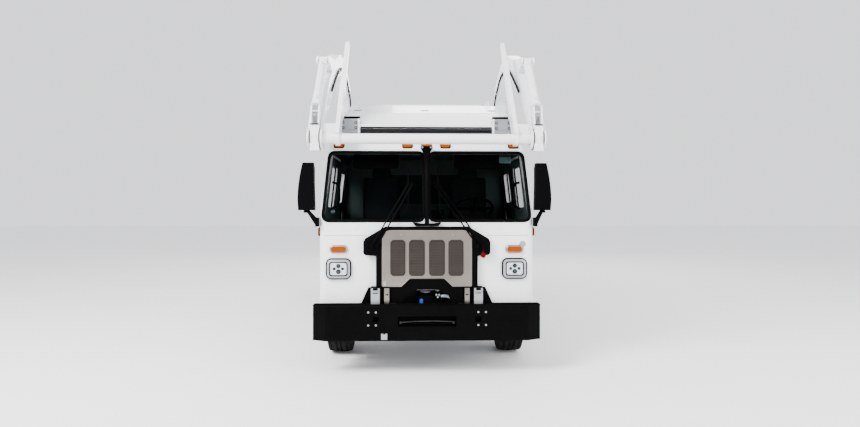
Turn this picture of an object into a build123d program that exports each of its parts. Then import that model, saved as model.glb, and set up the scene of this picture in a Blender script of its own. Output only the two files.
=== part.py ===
"""Front-loading garbage truck: low cab-forward cab, over-the-cab lift arms with folding forks,
open hopper behind the cab, packer body and top-hinged tailgate on a three-axle chassis.

Millimetres. +X is the truck's left side, the cab faces -Y, +Z is up. The origin is on the floor
under the middle of the truck. Lengthwise places are stations, measured back from the bumper's
face, and st() turns a station into a Y value.
"""

from math import atan2, cos, degrees, hypot, radians, sin
import os

from build123d import *

os.makedirs("parts", exist_ok=True)

# ---------------------------------------------------------------- driving dimensions
overall_length = 9300
pin_clearance = 0.5  # round a pin, and beside an eye
seat_gap = 0.3  # between curved faces that seat on each other
door_gap = 6
move_gap = 6  # between plates that swing past each other

# chassis
rail_spacing = 860  # over the outer faces of the two rails
rail_height, rail_flange, rail_web = 270, 85, 9
rail_top = 1030
rail_start, rail_end = 112, 8950
cross_members = (420, 2420, 3300, 4700, 6450, 7900, 8900)
cross_member_length, cross_member_drop = 70, 25

# wheels
tyre_radius, rim_radius = 530, 286
front_tyre_width, rear_tyre_width = 312, 279
front_axle_station = 1250
rear_axle_stations = (5790, 7110)
front_wheel_x = 1050
kingpin_x, kingpin_radius = 925, 24
twin_centre_x, twin_spacing = 925, 330
spindle_radius, rear_spindle_radius = 38, 48
hub_radius = 135

# bumper
bumper_low, bumper_high = 380, 760
bumper_kink_x, bumper_half, bumper_sweep = 1088, 1230, 75
bumper_plate, bumper_depth = 12, 110

# cab
cab_front, cab_back = 180, 1820
cab_half, cab_roof_half = 1185, 1090
belt_height, cab_low, cab_floor = 1640, 760, 1180
screen_top_station, screen_top = 330, 2450
roof_front_station, roof_front, roof_crown = 420, 2555, 2620
cab_wall = 45
glass_inset, glass_thickness = 16, 8
arch_front_station = 640

# arms
pivot_station, pivot_height = 2150, 1300
tube_station, tube_height, tube_radius = 120, 2555, 57
arm_inner_x, arm_width = 1130, 155
arm_plate = 22
pivot_pin_radius, pivot_hub_radius = 60, 175
fork_x, fork_thickness = 968, 45

# hopper and body
hopper_front, hopper_back = 1950, 4450
hopper_half, hopper_wall = 1010, 40
floor_low, floor_high = 1130, 1175
top_height = 3320
hopper_lip = top_height - 84  # the hopper's front edge
body_half, body_wall, rib_depth, rib_length = 1150, 45, 45, 90
body_back = 8240
roof_edge = 90  # the body's chamfered top corners
rib_stations = (4500, 5080, 5660, 6240, 6820, 7400, 8100)


def st(station):
    """Y of a station measured back from the bumper's face."""
    return station - overall_length / 2


def side_plane(x):
    """A plane across X whose sketch axes are Y and Z."""
    return Plane(origin=(x, 0, 0), x_dir=(0, 1, 0), z_dir=(1, 0, 0))


def section_plane(station):
    """A plane across Y whose sketch axes are X and Z. Extruding by a minus amount goes back."""
    return Plane(origin=(0, st(station), 0), x_dir=(1, 0, 0), z_dir=(0, -1, 0))


def span(low, high):
    """Centre and length of a stretch."""
    return (low + high) / 2, high - low


def block(x, y, z, mode=Mode.ADD):
    """A box from three (low, high) pairs, with y given as stations."""
    (cx, dx), (cy, dy), (cz, dz) = span(*x), span(*y), span(*z)
    with Locations((cx, st(cy), cz)):
        Box(dx, dy, dz, mode=mode)


def cross_bar(x_low, x_high, station, height, radius, mode=Mode.ADD):
    """A round bar along X."""
    with Locations(Location(((x_low + x_high) / 2, st(station), height), (0, 90, 0))):
        Cylinder(radius, x_high - x_low, mode=mode)


def keep(builder, name):
    """Labels a finished piece and writes it."""
    builder.part.label = name
    export_step(builder.part, f"parts/{name}.step")


# ---------------------------------------------------------------- linkages, in the side view
# Angles are in degrees from straight ahead, growing as a thing swings up and back.
def swing(angle, length):
    """Station and height change of a length at an angle from straight ahead."""
    return -length * cos(radians(angle)), length * sin(radians(angle))


def reach(a, b):
    """Length and angle from point a to point b, both (station, height)."""
    return hypot(b[0] - a[0], b[1] - a[1]), degrees(atan2(b[1] - a[1], -(b[0] - a[0])))


pivot = (pivot_station, pivot_height)
tube = (tube_station, tube_height)

lift_crank, lift_crank_angle = 250, -80
lift_eye = tuple(p + d for p, d in zip(pivot, swing(lift_crank_angle, lift_crank)))
lift_base = (3450, 980)
lift_barrel_radius, lift_rod_radius = 54, 32
lift_eye_radius, lift_pin_radius = 62, 28
lift_slot_inner, lift_slot_outer = 122, 350

fork_crank, fork_crank_angle = 315, 92
fork_eye = tuple(p + d for p, d in zip(tube, swing(fork_crank_angle, fork_crank)))
fork_base = (700, 3550)
fork_barrel_radius, fork_rod_radius = 50, 26
fork_eye_radius, fork_pin_radius = 42, 22
fork_eye_width = 66
fork_clevis_floor = 150

tail_hinge = (body_back + 10, top_height + 65)
tail_eye = (8600, 3120)
tail_base = (7850, 1985)
tail_barrel_radius, tail_rod_radius = 40, 24
tail_eye_radius, tail_pin_radius = 45, 22
tail_cylinder_x = body_half + 100

arm_x = arm_inner_x + arm_width / 2
arm_outer_x = arm_inner_x + arm_width


# ---------------------------------------------------------------- chassis
def chassis_frame():
    """Two channel rails with cross members, and the underride guard at the back."""
    outer = rail_spacing / 2
    low = rail_top - rail_height
    with BuildPart() as frame:
        block((outer - rail_flange, outer), (rail_start, rail_end), (low, rail_top))
        block(
            (outer - rail_flange, outer - rail_web),
            (rail_start, rail_end),
            (low + rail_web, rail_top - rail_web),
            Mode.SUBTRACT,
        )
        block((outer - 14, outer), (rail_start, 420), (bumper_low + 60, low))
        block((outer - 14, outer), (bumper_plate, rail_start), (bumper_low + 60, bumper_high - bumper_plate))
        block((0, outer - 14), (340, 348), (low - 30, rail_top - 20))
        block((0, outer + 10), (0, cab_front + cab_wall + 15), (930, rail_top + 10), Mode.SUBTRACT)
        mirror(about=Plane.YZ)
        for station in cross_members:
            block(
                (rail_web - outer, outer - rail_web),
                (station - cross_member_length / 2, station + cross_member_length / 2),
                (low + cross_member_drop, rail_top - cross_member_drop),
            )
        block((outer - 60, outer), (rail_end - 120, rail_end), (guard_low, low))
        mirror(about=Plane.YZ)
        block((-guard_half, guard_half), (rail_end - 70, rail_end), (guard_low, guard_low + 110))
    keep(frame, "chassis_frame")


guard_low, guard_half = 430, 1120
tail_lamp_x = (760, 980)
cab_mount_stations = (760, 1690)


def cab_mounts():
    """Four pads on the rails that carry the cab floor."""
    outer = rail_spacing / 2
    with BuildPart() as mounts:
        for station in cab_mount_stations:
            block((outer - rail_flange, outer), (station, station + 80), (rail_top, cab_floor))
        mirror(about=Plane.YZ)
    keep(mounts, "cab_mounts")


def wheel_plane(station):
    """The side plane through a wheel's axle line is turned about X by revolve."""
    return Axis((0, st(station), tyre_radius), (1, 0, 0))


def tyre_ring(centre_x, width, station):
    """One tyre: rounded shoulders, bulged walls and a bead seat."""
    half, bead = width / 2, width / 2 - 32
    crown, shoulder = tyre_radius, tyre_radius - 14
    with BuildSketch(Plane.XY.offset(tyre_radius)) as profile:
        with BuildLine():
            a = (centre_x - bead, st(station) + rim_radius)
            b = (centre_x - half, st(station) + (rim_radius + shoulder) / 2 - 20)
            c = (centre_x - half + 26, st(station) + shoulder)
            d = (centre_x, st(station) + crown)
            e = (centre_x + half - 26, st(station) + shoulder)
            f = (centre_x + half, st(station) + (rim_radius + shoulder) / 2 - 20)
            g = (centre_x + bead, st(station) + rim_radius)
            ThreePointArc(a, b, c)
            ThreePointArc(c, d, e)
            ThreePointArc(e, f, g)
            Line(g, a)
        make_face()
    revolve(profile.sketch, axis=wheel_plane(station), revolution_arc=360)


def front_axle():
    """Dropped beam with an eye and kingpin at each end, on two leaf springs hung from the rails."""
    beam_low, beam_high = tyre_radius - 110, tyre_radius - 15
    spring_x = rail_spacing / 2 - 45
    spring_low = beam_high
    with BuildPart() as axle:
        block((-720, 720), (front_axle_station - 50, front_axle_station + 50), (beam_low, beam_high))
        with BuildSketch(section_plane(front_axle_station - 45)):
            with BuildLine():
                Polyline(
                    (690, beam_low), (700, beam_high), (kingpin_x - 30, tyre_radius + 48),
                    (kingpin_x, tyre_radius + 48), (kingpin_x, tyre_radius - 48),
                    (kingpin_x - 80, tyre_radius - 50), close=True,
                )
            make_face()
        extrude(amount=-90)
        with Locations((kingpin_x, st(front_axle_station), tyre_radius)):
            Cylinder(48, 110)
            Cylinder(kingpin_radius, 190)
        for name_x in (spring_x,):
            with BuildSketch(side_plane(name_x - 38)):
                with BuildLine():
                    front_eye = (st(front_axle_station - 640), rail_top - rail_height - 40)
                    rear_eye = (st(front_axle_station + 560), rail_top - rail_height - 40)
                    middle_low = (st(front_axle_station), spring_low)
                    middle_high = (st(front_axle_station), spring_low + 75)
                    ThreePointArc(front_eye, middle_low, rear_eye)
                    Line(rear_eye, (rear_eye[0], rear_eye[1] + 14))
                    ThreePointArc(
                        (rear_eye[0], rear_eye[1] + 14), middle_high, (front_eye[0], front_eye[1] + 14)
                    )
                    Line((front_eye[0], front_eye[1] + 14), front_eye)
                make_face()
            extrude(amount=76)
            for eye in (-640, 560):
                station = front_axle_station + eye
                block(
                    (spring_x - 45, spring_x + 45),
                    (station - 55, station + 55),
                    (rail_top - rail_height - 75, rail_top - rail_height),
                )
        mirror(about=Plane.YZ)
    keep(axle, "front_axle")


def rear_axles():
    """Two drive axles with round bowls, on walking beams that swing from the rails."""
    beam_x = (480, 570)
    middle = sum(rear_axle_stations) / 2
    spindle_end = twin_centre_x + 150
    with BuildPart() as axles:
        for station in rear_axle_stations:
            cross_bar(-600, 600, station, tyre_radius, 85)
            with Locations((0, st(station), tyre_radius)):
                Sphere(205)
            cross_bar(-spindle_end, spindle_end, station, tyre_radius, rear_spindle_radius)
        block(beam_x, (rear_axle_stations[0] - 90, rear_axle_stations[1] + 90), (440, 620))
        block((rail_spacing / 2, beam_x[1]), (middle - 230, middle + 230), (600, rail_top - 60))
        mirror(about=Plane.YZ)
        with BuildSketch(shaft_plane()):
            Circle(85)
        extrude(amount=shaft_end)
    keep(axles, "rear_axles")


def knuckle(side, name):
    """Steering knuckle: two ears on the kingpin, a web, the spindle and its steering arm."""
    ear = 26
    ear_low = 55 + 5
    web = (kingpin_x + 55, kingpin_x + 85)
    with BuildPart() as part:
        for low in (tyre_radius + ear_low, tyre_radius - ear_low - ear):
            block((kingpin_x - 45, web[1]), (front_axle_station - 45, front_axle_station + 45), (low, low + ear))
        block(web, (front_axle_station - 45, front_axle_station + 45),
              (tyre_radius - ear_low - ear, tyre_radius + ear_low + ear))
        with Locations((kingpin_x, st(front_axle_station), tyre_radius)):
            Cylinder(kingpin_radius + pin_clearance, 400, mode=Mode.SUBTRACT)
        cross_bar(web[1], front_wheel_x + 110, front_axle_station, tyre_radius, spindle_radius)
        block((kingpin_x - 20, kingpin_x + 20), (front_axle_station + 45, front_axle_station + 230),
              (tyre_radius - ear_low - ear, tyre_radius - ear_low))
        if side < 0:
            mirror(part.part, about=Plane.YZ, mode=Mode.REPLACE)
    keep(part, name)


def front_wheel(side, tyre_name, rim_name):
    """A single steering wheel: tyre, and a rim with hand holes round its raised hub."""
    x = front_wheel_x
    half = front_tyre_width / 2
    with BuildPart() as tyre:
        tyre_ring(side * x, front_tyre_width, front_axle_station)
    keep(tyre, tyre_name)
    with BuildPart() as rim:
        with BuildSketch(Plane.XY.offset(tyre_radius)) as profile:
            with BuildLine():
                y0 = st(front_axle_station)
                r = rim_radius - seat_gap
                Polyline(
                    (x - half + 35, y0 + r), (x + half - 35, y0 + r), (x + half - 35, y0 + r - 26),
                    (x + 70, y0 + r - 40), (x + 75, y0 + hub_radius + 30), (x + 122, y0 + hub_radius),
                    (x + 122, y0 + 70), (x + 150, y0 + 62), (x + 150, y0), (x + 118, y0),
                    (x + 118, y0 + spindle_radius + pin_clearance),
                    (x - 30, y0 + spindle_radius + pin_clearance), (x - 30, y0 + hub_radius - 25),
                    (x + 50, y0 + hub_radius - 25), (x + 50, y0 + r - 22),
                    (x - half + 35, y0 + r - 12), close=True,
                )
            make_face()
        revolve(axis=wheel_plane(front_axle_station), revolution_arc=360)
        with Locations(Location((x + 60, st(front_axle_station), tyre_radius), (0, 90, 0))):
            with PolarLocations(205, 10):
                Cylinder(26, 90, mode=Mode.SUBTRACT)
        if side < 0:
            mirror(rim.part, about=Plane.YZ, mode=Mode.REPLACE)
    keep(rim, rim_name)


def rear_wheels(side, station, tyre_name, rim_name):
    """Twin tyres on two dished rims that share one hub."""
    with BuildPart() as tyres:
        for offset in (-twin_spacing / 2, twin_spacing / 2):
            tyre_ring(side * (twin_centre_x + offset), rear_tyre_width, station)
    keep(tyres, tyre_name)
    half = rear_tyre_width / 2 - 35
    inner, outer = twin_centre_x - twin_spacing / 2, twin_centre_x + twin_spacing / 2
    r, y0 = rim_radius - seat_gap, st(station)
    bore = rear_spindle_radius + pin_clearance
    hub_end = twin_centre_x + 190
    with BuildPart() as rims:
        with BuildSketch(Plane.XY.offset(tyre_radius)) as profile:
            with BuildLine():
                Polyline(
                    (inner - half, y0 + r), (inner + half, y0 + r), (inner + half, y0 + r - 30),
                    (twin_centre_x - 12, y0 + 240), (twin_centre_x + 12, y0 + 240),
                    (outer - half, y0 + r - 30), (outer - half, y0 + r), (outer + half, y0 + r),
                    (outer + half, y0 + r - 18), (outer - half + 20, y0 + r - 40),
                    (twin_centre_x + 24, y0 + 215), (twin_centre_x + 24, y0 + hub_radius),
                    (hub_end - 60, y0 + hub_radius - 10), (hub_end - 60, y0 + 85),
                    (hub_end, y0 + 75), (hub_end, y0), (hub_end - 30, y0), (hub_end - 30, y0 + bore),
                    (twin_centre_x - 160, y0 + bore), (twin_centre_x - 160, y0 + hub_radius),
                    (twin_centre_x - 24, y0 + hub_radius), (twin_centre_x - 24, y0 + 215),
                    (inner + half - 20, y0 + r - 40), (inner - half, y0 + r - 18), close=True,
                )
            make_face()
        revolve(axis=wheel_plane(station), revolution_arc=360)
        with Locations(Location((twin_centre_x, st(station), tyre_radius), (0, 90, 0))):
            with PolarLocations(190, 10):
                Cylinder(24, 90, mode=Mode.SUBTRACT)
        if side < 0:
            mirror(rims.part, about=Plane.YZ, mode=Mode.REPLACE)
    keep(rims, rim_name)


# ---------------------------------------------------------------- power train and tanks
engine_half, engine_stations, engine_heights = 320, (560, 1640), (700, 1150)
gearbox_half, gearbox_end = 190, 2350
shaft_radius, shaft_height = 55, 715
shaft_end = 260  # from the first drive axle's middle to the shaft's flange
tank_x, tank_heights = (500, 1110), (585, 1010)
# length stations of the two side tanks
fuel_tank_stations, oil_tank_stations = (3650, 4950), (3650, 4700)


def shaft_plane():
    """The flange plane where the driveshaft meets the first drive axle, facing back along it."""
    ds, dh = rear_axle_stations[0] - gearbox_end, tyre_radius - shaft_height
    length = hypot(ds, dh)
    along = (0, ds / length, dh / length)
    middle = Vector(0, st(rear_axle_stations[0]), tyre_radius) - Vector(*along) * shaft_end
    return Plane(origin=middle, x_dir=(1, 0, 0), z_dir=along)


def engine_block():
    """Engine and gearbox as plain masses on two feet, with the driveshaft to the first drive axle."""
    low, high = engine_heights
    first_axle = rear_axle_stations[0]
    with BuildPart() as engine:
        block((-engine_half, engine_half), engine_stations, (low, high))
        chamfer(engine.edges().filter_by(Axis.Y), 45)
        block((-gearbox_half, gearbox_half), (engine_stations[1], gearbox_end), (shaft_height - 160, rail_top - 30))
        foot = rail_spacing / 2 - rail_web
        for station in (700, 1450):
            block((-foot, foot), (station, station + 90), (rail_top - rail_height + rail_web, rail_top - 170))
        with BuildSketch(shaft_plane()):
            Circle(shaft_radius)
        extrude(amount=-(hypot(first_axle - gearbox_end, tyre_radius - shaft_height) - shaft_end + 10))
    keep(engine, "engine_block")


def side_tanks():
    """Fuel tank on the left and hydraulic oil tank on the right, each strapped to its rail."""
    outer = rail_spacing / 2
    with BuildPart() as tanks:
        for side, (front, back) in ((1, fuel_tank_stations), (-1, oil_tank_stations)):
            x = sorted((side * tank_x[0], side * tank_x[1]))
            with BuildSketch(section_plane(front)):
                with Locations((side * sum(tank_x) / 2, sum(tank_heights) / 2)):
                    RectangleRounded(tank_x[1] - tank_x[0], tank_heights[1] - tank_heights[0], 110 if side > 0 else 30)
            extrude(amount=front - back)
            for station in (front + 180, back - 240):
                arm = sorted((side * outer, side * (tank_x[0] + 20)))
                block(arm, (station, station + 60), (780, 1010))
            cap = (side * (tank_x[1] - 130), st(front + 260), tank_heights[1])
            with Locations(cap):
                Cylinder(55, 60)
    keep(tanks, "side_tanks")


def rear_fenders():
    """A flat guard over each pair of twin wheels, turned down at its ends, and mud flaps behind."""
    inner, outer = 760, 1225
    front, back = rear_axle_stations[0] - 640, rear_axle_stations[1] + 640
    top = floor_low - 1
    with BuildPart() as fenders:
        with BuildSketch(side_plane(inner)):
            with BuildLine():
                Polyline(
                    (st(front), 880), (st(front), 1000), (st(front + 130), top), (st(back - 130), top),
                    (st(back), 1000), (st(back), 320), (st(back - 10), 320), (st(back - 10), 996),
                    (st(back - 134), top - 8), (st(front + 134), top - 8), (st(front + 8), 996),
                    (st(front + 8), 880), close=True,
                )
            make_face()
        extrude(amount=outer - inner)
        for station in (front + 300, sum(rear_axle_stations) / 2, back - 360):
            block((rail_spacing / 2, inner + 40), (station, station + 50), (rail_top + 2, top - 8))
        mirror(about=Plane.YZ)
    keep(fenders, "rear_fenders")


# ---------------------------------------------------------------- front end
tow_hole_x, tow_hole_height, tow_hole_size = 550, 609, (62, 54)
slot_half, slot_heights = 318, (529, 646)


def front_bumper():
    """Folded steel channel with swept ends, a middle slot and two tow hook holes."""
    with BuildPart() as bumper:
        with BuildSketch(Plane.XY.offset(bumper_low)):
            with BuildLine():
                Polyline(
                    (0, st(0)), (bumper_kink_x, st(0)), (bumper_half, st(bumper_sweep)),
                    (bumper_half, st(bumper_sweep + bumper_depth)), (bumper_kink_x, st(bumper_depth)),
                    (0, st(bumper_depth)), close=True,
                )
            make_face()
        extrude(amount=bumper_high - bumper_low)
        with BuildSketch(Plane.XY.offset(bumper_low + bumper_plate)):
            with BuildLine():
                Polyline(
                    (0, st(bumper_plate)), (bumper_kink_x - 3, st(bumper_plate)),
                    (bumper_half - bumper_plate, st(bumper_sweep + bumper_plate - 4)),
                    (bumper_half - bumper_plate, st(bumper_sweep + 2 * bumper_depth)),
                    (0, st(bumper_sweep + 2 * bumper_depth)), close=True,
                )
            make_face()
        extrude(amount=bumper_high - bumper_low - 2 * bumper_plate, mode=Mode.SUBTRACT)
        block((tow_hole_x - tow_hole_size[0] / 2, tow_hole_x + tow_hole_size[0] / 2), (-5, 60),
              (tow_hole_height - tow_hole_size[1] / 2, tow_hole_height + tow_hole_size[1] / 2), Mode.SUBTRACT)
        block((-1, slot_half), (-5, 60), slot_heights, Mode.SUBTRACT)
        mirror(about=Plane.YZ)
    keep(bumper, "front_bumper")


# ---------------------------------------------------------------- cab
def cab_body(inset):
    """The cab's outer form, drawn in on every side by an inset: side view, front view and plan."""
    low = cab_low - 5
    with BuildPart() as body:
        with BuildSketch(side_plane(-cab_half)):
            with BuildLine():
                lower_front = (st(cab_front + inset), low)
                belt = (st(cab_front + inset), belt_height)
                screen = (st(screen_top_station + inset), screen_top)
                brow = (st(roof_front_station + inset), roof_front - inset)
                crown = (st(1000), roof_crown - inset)
                back_top = (st(cab_back - inset), roof_crown - 20 - inset)
                Polyline(lower_front, belt, screen, brow)
                ThreePointArc(brow, crown, back_top)
                Polyline(back_top, (st(cab_back - inset), low), lower_front)
            make_face()
        extrude(amount=2 * cab_half)
        with BuildSketch(section_plane(0)):
            with BuildLine():
                side, top_side = cab_half - inset, cab_roof_half - inset
                Line((side, low - 10), (side, belt_height))
                Line((side, belt_height), (top_side, roof_front - 90))
                RadiusArc((top_side, roof_front - 90), (top_side - 130, roof_crown - 30 - inset), -150)
                Line((top_side - 130, roof_crown - 30 - inset), (0, roof_crown + 5 - inset))
                Line((0, roof_crown + 5 - inset), (0, low - 10))
                Line((0, low - 10), (side, low - 10))
            make_face()
            mirror(about=Plane.YZ)
        extrude(amount=-2 * cab_back, mode=Mode.INTERSECT)
        with BuildSketch(Plane.XY):
            with Locations((0, st((cab_front + cab_back) / 2))):
                RectangleRounded(2 * (cab_half - inset), cab_back - cab_front - 2 * inset, 95 - inset)
        extrude(amount=2 * roof_crown, mode=Mode.INTERSECT)
    return body.part


pane_low, pane_high, pane_inner = 1662, 2428, 32
pane_low_outer, pane_high_outer, pane_corner = 1146, 1084, 60
door_front, door_back, door_low, door_high = 335, 1130, 1240, 2420
door_window = (425, 1045, 1700, 2300)
quarter_window = (1250, 1640, 1790, 2280)
rear_window = (640, 1850, 2280)
grille_half, grille_low, grille_high = 498, 937, 1558
surround_depth = 65


screen_lean = atan2(screen_top_station - cab_front, screen_top - belt_height)
screen_plane = Plane(
    origin=(0, st(cab_front), belt_height),
    x_dir=(1, 0, 0),
    z_dir=(0, -cos(screen_lean), sin(screen_lean)),
)


def window_prisms(inset=0):
    """Every cab window as a prism: windscreen panes, quarter windows and the rear window."""
    with BuildPart() as prisms:
        with BuildSketch(screen_plane.offset(40)) as pane:
            low, high = ((z - belt_height) / cos(screen_lean) for z in (pane_low, pane_high))
            with BuildLine():
                Polyline(
                    (pane_inner + inset, low + inset), (pane_low_outer - inset, low + inset),
                    (pane_high_outer - inset, high - inset), (pane_inner + inset, high - inset), close=True,
                )
            make_face()
            fillet(pane.vertices(), pane_corner - inset)
        extrude(amount=-(40 + cab_wall + 22))
        mirror(about=Plane.YZ)
        with BuildSketch(section_plane(cab_back + 60)):
            with Locations((0, (rear_window[1] + rear_window[2]) / 2)):
                RectangleRounded(2 * (rear_window[0] - inset), rear_window[2] - rear_window[1] - 2 * inset, 50)
        extrude(amount=200)
        add(side_prisms(quarter_window, inset))
    return prisms.part


def side_prisms(window, inset=0):
    """A side window on both sides of the cab, as two prisms."""
    front, back, low, high = window
    with BuildPart() as prisms:
        with BuildSketch(side_plane(cab_roof_half - 200)):
            with Locations((st((front + back) / 2), (low + high) / 2)):
                RectangleRounded(back - front - 2 * inset, high - low - 2 * inset, 60 - inset)
        extrude(amount=400)
        mirror(about=Plane.YZ)
    return prisms.part


def door_prism(side, gap=0):
    """The door opening on one side, drawn in by a gap all round."""
    with BuildPart() as prism:
        x = (cab_roof_half - 200, cab_half + 100)
        block((min(side * x[0], side * x[1]), max(side * x[0], side * x[1])),
              (door_front + gap, door_back - gap), (door_low + gap, door_high - gap))
        fillet(prism.edges().filter_by(Axis.X).group_by(Axis.Z)[-1], 60)
    return prism.part


def cab():
    """Cab shell with its floor, doors cut out of the same walls, and all the glass."""
    outer, inner = cab_body(0), cab_body(cab_wall)
    with BuildPart() as floor_plate:
        add(inner)
        block((-cab_half, cab_half), (0, cab_back), (cab_floor, cab_floor + 50), Mode.INTERSECT)
    with BuildPart() as walls:
        add(outer)
        add(inner, mode=Mode.SUBTRACT)
        add(floor_plate.part)
        block((-2 * cab_half, 2 * cab_half), (arch_front_station, cab_back + 100), (0, cab_floor), Mode.SUBTRACT)
        block((-2 * cab_half, 2 * cab_half), (cab_front - 50, cab_back + 100), (0, cab_low), Mode.SUBTRACT)
        add(window_prisms(), mode=Mode.SUBTRACT)
        # step wells in the side skins, the grille opening and the cut-out over the bumper
        for side in (-1, 1):
            x = sorted((side * 1000, side * 1300))
            block(x, (270, 600), (0, 1140), Mode.SUBTRACT)
        block((-470, 470), (0, 400), (grille_low + 20, grille_high - 30), Mode.SUBTRACT)
        with BuildSketch(section_plane(0)):
            with BuildLine():
                Polyline((-720, cab_low - 10), (-610, 945), (610, 945), (720, cab_low - 10), close=True)
            make_face()
        extrude(amount=-400, mode=Mode.SUBTRACT)
    with BuildPart() as shell:
        add(walls.part)
        for side in (-1, 1):
            add(door_prism(side), mode=Mode.SUBTRACT)
    keep(shell, "cab_shell")

    with BuildPart() as layer:
        add(cab_body(glass_inset))
        add(cab_body(glass_inset + glass_thickness), mode=Mode.SUBTRACT)
    with BuildPart() as glass:
        add(layer.part)
        add(window_prisms(seat_gap), mode=Mode.INTERSECT)
    keep(glass, "cab_glass")

    for side, name in ((1, "left"), (-1, "right")):
        with BuildPart() as door:
            add(walls.part)
            add(door_prism(side, door_gap), mode=Mode.INTERSECT)
            add(side_prisms(door_window), mode=Mode.SUBTRACT)
        keep(door, f"door_{name}")
        with BuildPart() as pane:
            add(layer.part)
            add(side_prisms(door_window, seat_gap), mode=Mode.INTERSECT)
            block((min(0, side * 2000), max(0, side * 2000)), (0, cab_back), (0, 3000), Mode.INTERSECT)
        keep(pane, f"door_glass_{name}")


def grille():
    """Black surround with its two wings, and the bright panel with four windows in front of it."""
    face = cab_front
    with BuildPart() as surround:
        with BuildSketch(section_plane(face)):
            with BuildLine():
                Polyline(
                    (0, 1600), (455, 1600), (675, 1470), (693, 1430), (693, 1310), (670, 1289),
                    (555, 1280), (555, grille_low), (0, grille_low), close=True,
                )
            make_face()
            mirror(about=Plane.YZ)
            with Locations((0, (grille_low + grille_high) / 2)):
                Rectangle(2 * 455, grille_high - grille_low - 60, mode=Mode.SUBTRACT)
            with Locations((0, grille_low)):
                Rectangle(2 * 400, 120, mode=Mode.SUBTRACT)
        extrude(amount=surround_depth)
    keep(surround, "grille_surround")

    with BuildPart() as panel:
        with BuildSketch(section_plane(face - surround_depth)):
            with BuildLine():
                Polyline(
                    (0, grille_high), (grille_half - 62, grille_high), (grille_half, grille_high - 80),
                    (grille_half, grille_low), (278, grille_low), (197, grille_low + 91),
                    (0, grille_low + 91), close=True,
                )
            make_face()
            mirror(about=Plane.YZ)
            for x_low, x_high in ((16, 203), (232, 400)):
                for side in (-1, 1):
                    with Locations((side * (x_low + x_high) / 2, 1255)):
                        Rectangle(x_high - x_low, 397, mode=Mode.SUBTRACT)
        extrude(amount=6)
    keep(panel, "grille_panel")


support_x, strip_x = (508, 612), (408, 466)
unit_x, unit_heights = (-125, 300), (700, 872)
marker_x = (-985, -215, 0, 215, 985)
brow_run, brow_rise = roof_front_station - screen_top_station, roof_front - screen_top
# the slope above the windscreen, with its origin at the screen's top edge
brow_plane = Plane(
    origin=(0, st(screen_top_station), screen_top),
    x_dir=(1, 0, 0),
    z_dir=(0, -brow_rise / hypot(brow_run, brow_rise), brow_run / hypot(brow_run, brow_rise)),
)


def front_supports():
    """What shows between grille and bumper: two brackets, two strips and their gusset plates."""
    with BuildPart() as supports:
        block(support_x, (92, 111), (bumper_high, grille_low))
        block((support_x[0], support_x[0] + 8), (92, 150), (bumper_high, grille_low))
        block(strip_x, (100, 111), (bumper_high, grille_low))
        with BuildSketch(section_plane(150)):
            with BuildLine():
                Polyline(
                    (support_x[0] - 70, bumper_high), (support_x[0] - 70, grille_low),
                    (640, grille_low), (720, bumper_high), close=True,
                )
            make_face()
        extrude(amount=-10)
        block((rail_spacing / 2, support_x[0] - 60), (150, 160), (rail_top - rail_height, 920))
        mirror(about=Plane.YZ)
    keep(supports, "front_supports")


step_x, step_stations, step_heights = (960, 1134), (370, 600), (430, 610, 790, 970)


def front_steps():
    """Four entry treads under each door, hung from the cab's floor in front of the wheel."""
    with BuildPart() as steps:
        for x in (step_x[0], step_x[1] - 8):
            block((x, x + 8), step_stations, (step_heights[0], cab_floor - seat_gap))
        for height in step_heights:
            block(step_x, step_stations, (height, height + 22))
        mirror(about=Plane.YZ)
    keep(steps, "front_steps")


def service_unit():
    """Coolant header: a tray with a capped reservoir, a filler pipe and a hose elbow."""
    with BuildPart() as unit:
        block(unit_x, (150, 330), (unit_heights[0] - 25, unit_heights[0]))
        with BuildSketch(Plane.XY.offset(unit_heights[0])):
            with Locations((-15, st(240))):
                RectangleRounded(190, 150, 40)
        extrude(amount=unit_heights[1] - unit_heights[0] - 30)
        with Locations((-15, st(240), unit_heights[1] - 15)):
            Cylinder(45, 40)
        with Locations((150, st(230), unit_heights[0] + 55)):
            Cylinder(38, 110)
        with Locations(Location((235, st(225), unit_heights[0] + 60), (0, 90, 0))):
            Cylinder(30, 90)
        with Locations((262, st(225), unit_heights[0] + 30)):
            Cylinder(30, 60)
        for x in (-100, 270):
            block((x, x + 12), (320, 340), (unit_heights[0], 900))
    keep(unit, "service_unit")


wheel_centre = (560, 640, 1800)  # of the steering wheel: X, station, height
steering_wheel_radius, steering_rim, steering_lean = 225, 17, 32
seat_places = (560, -560)


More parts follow.
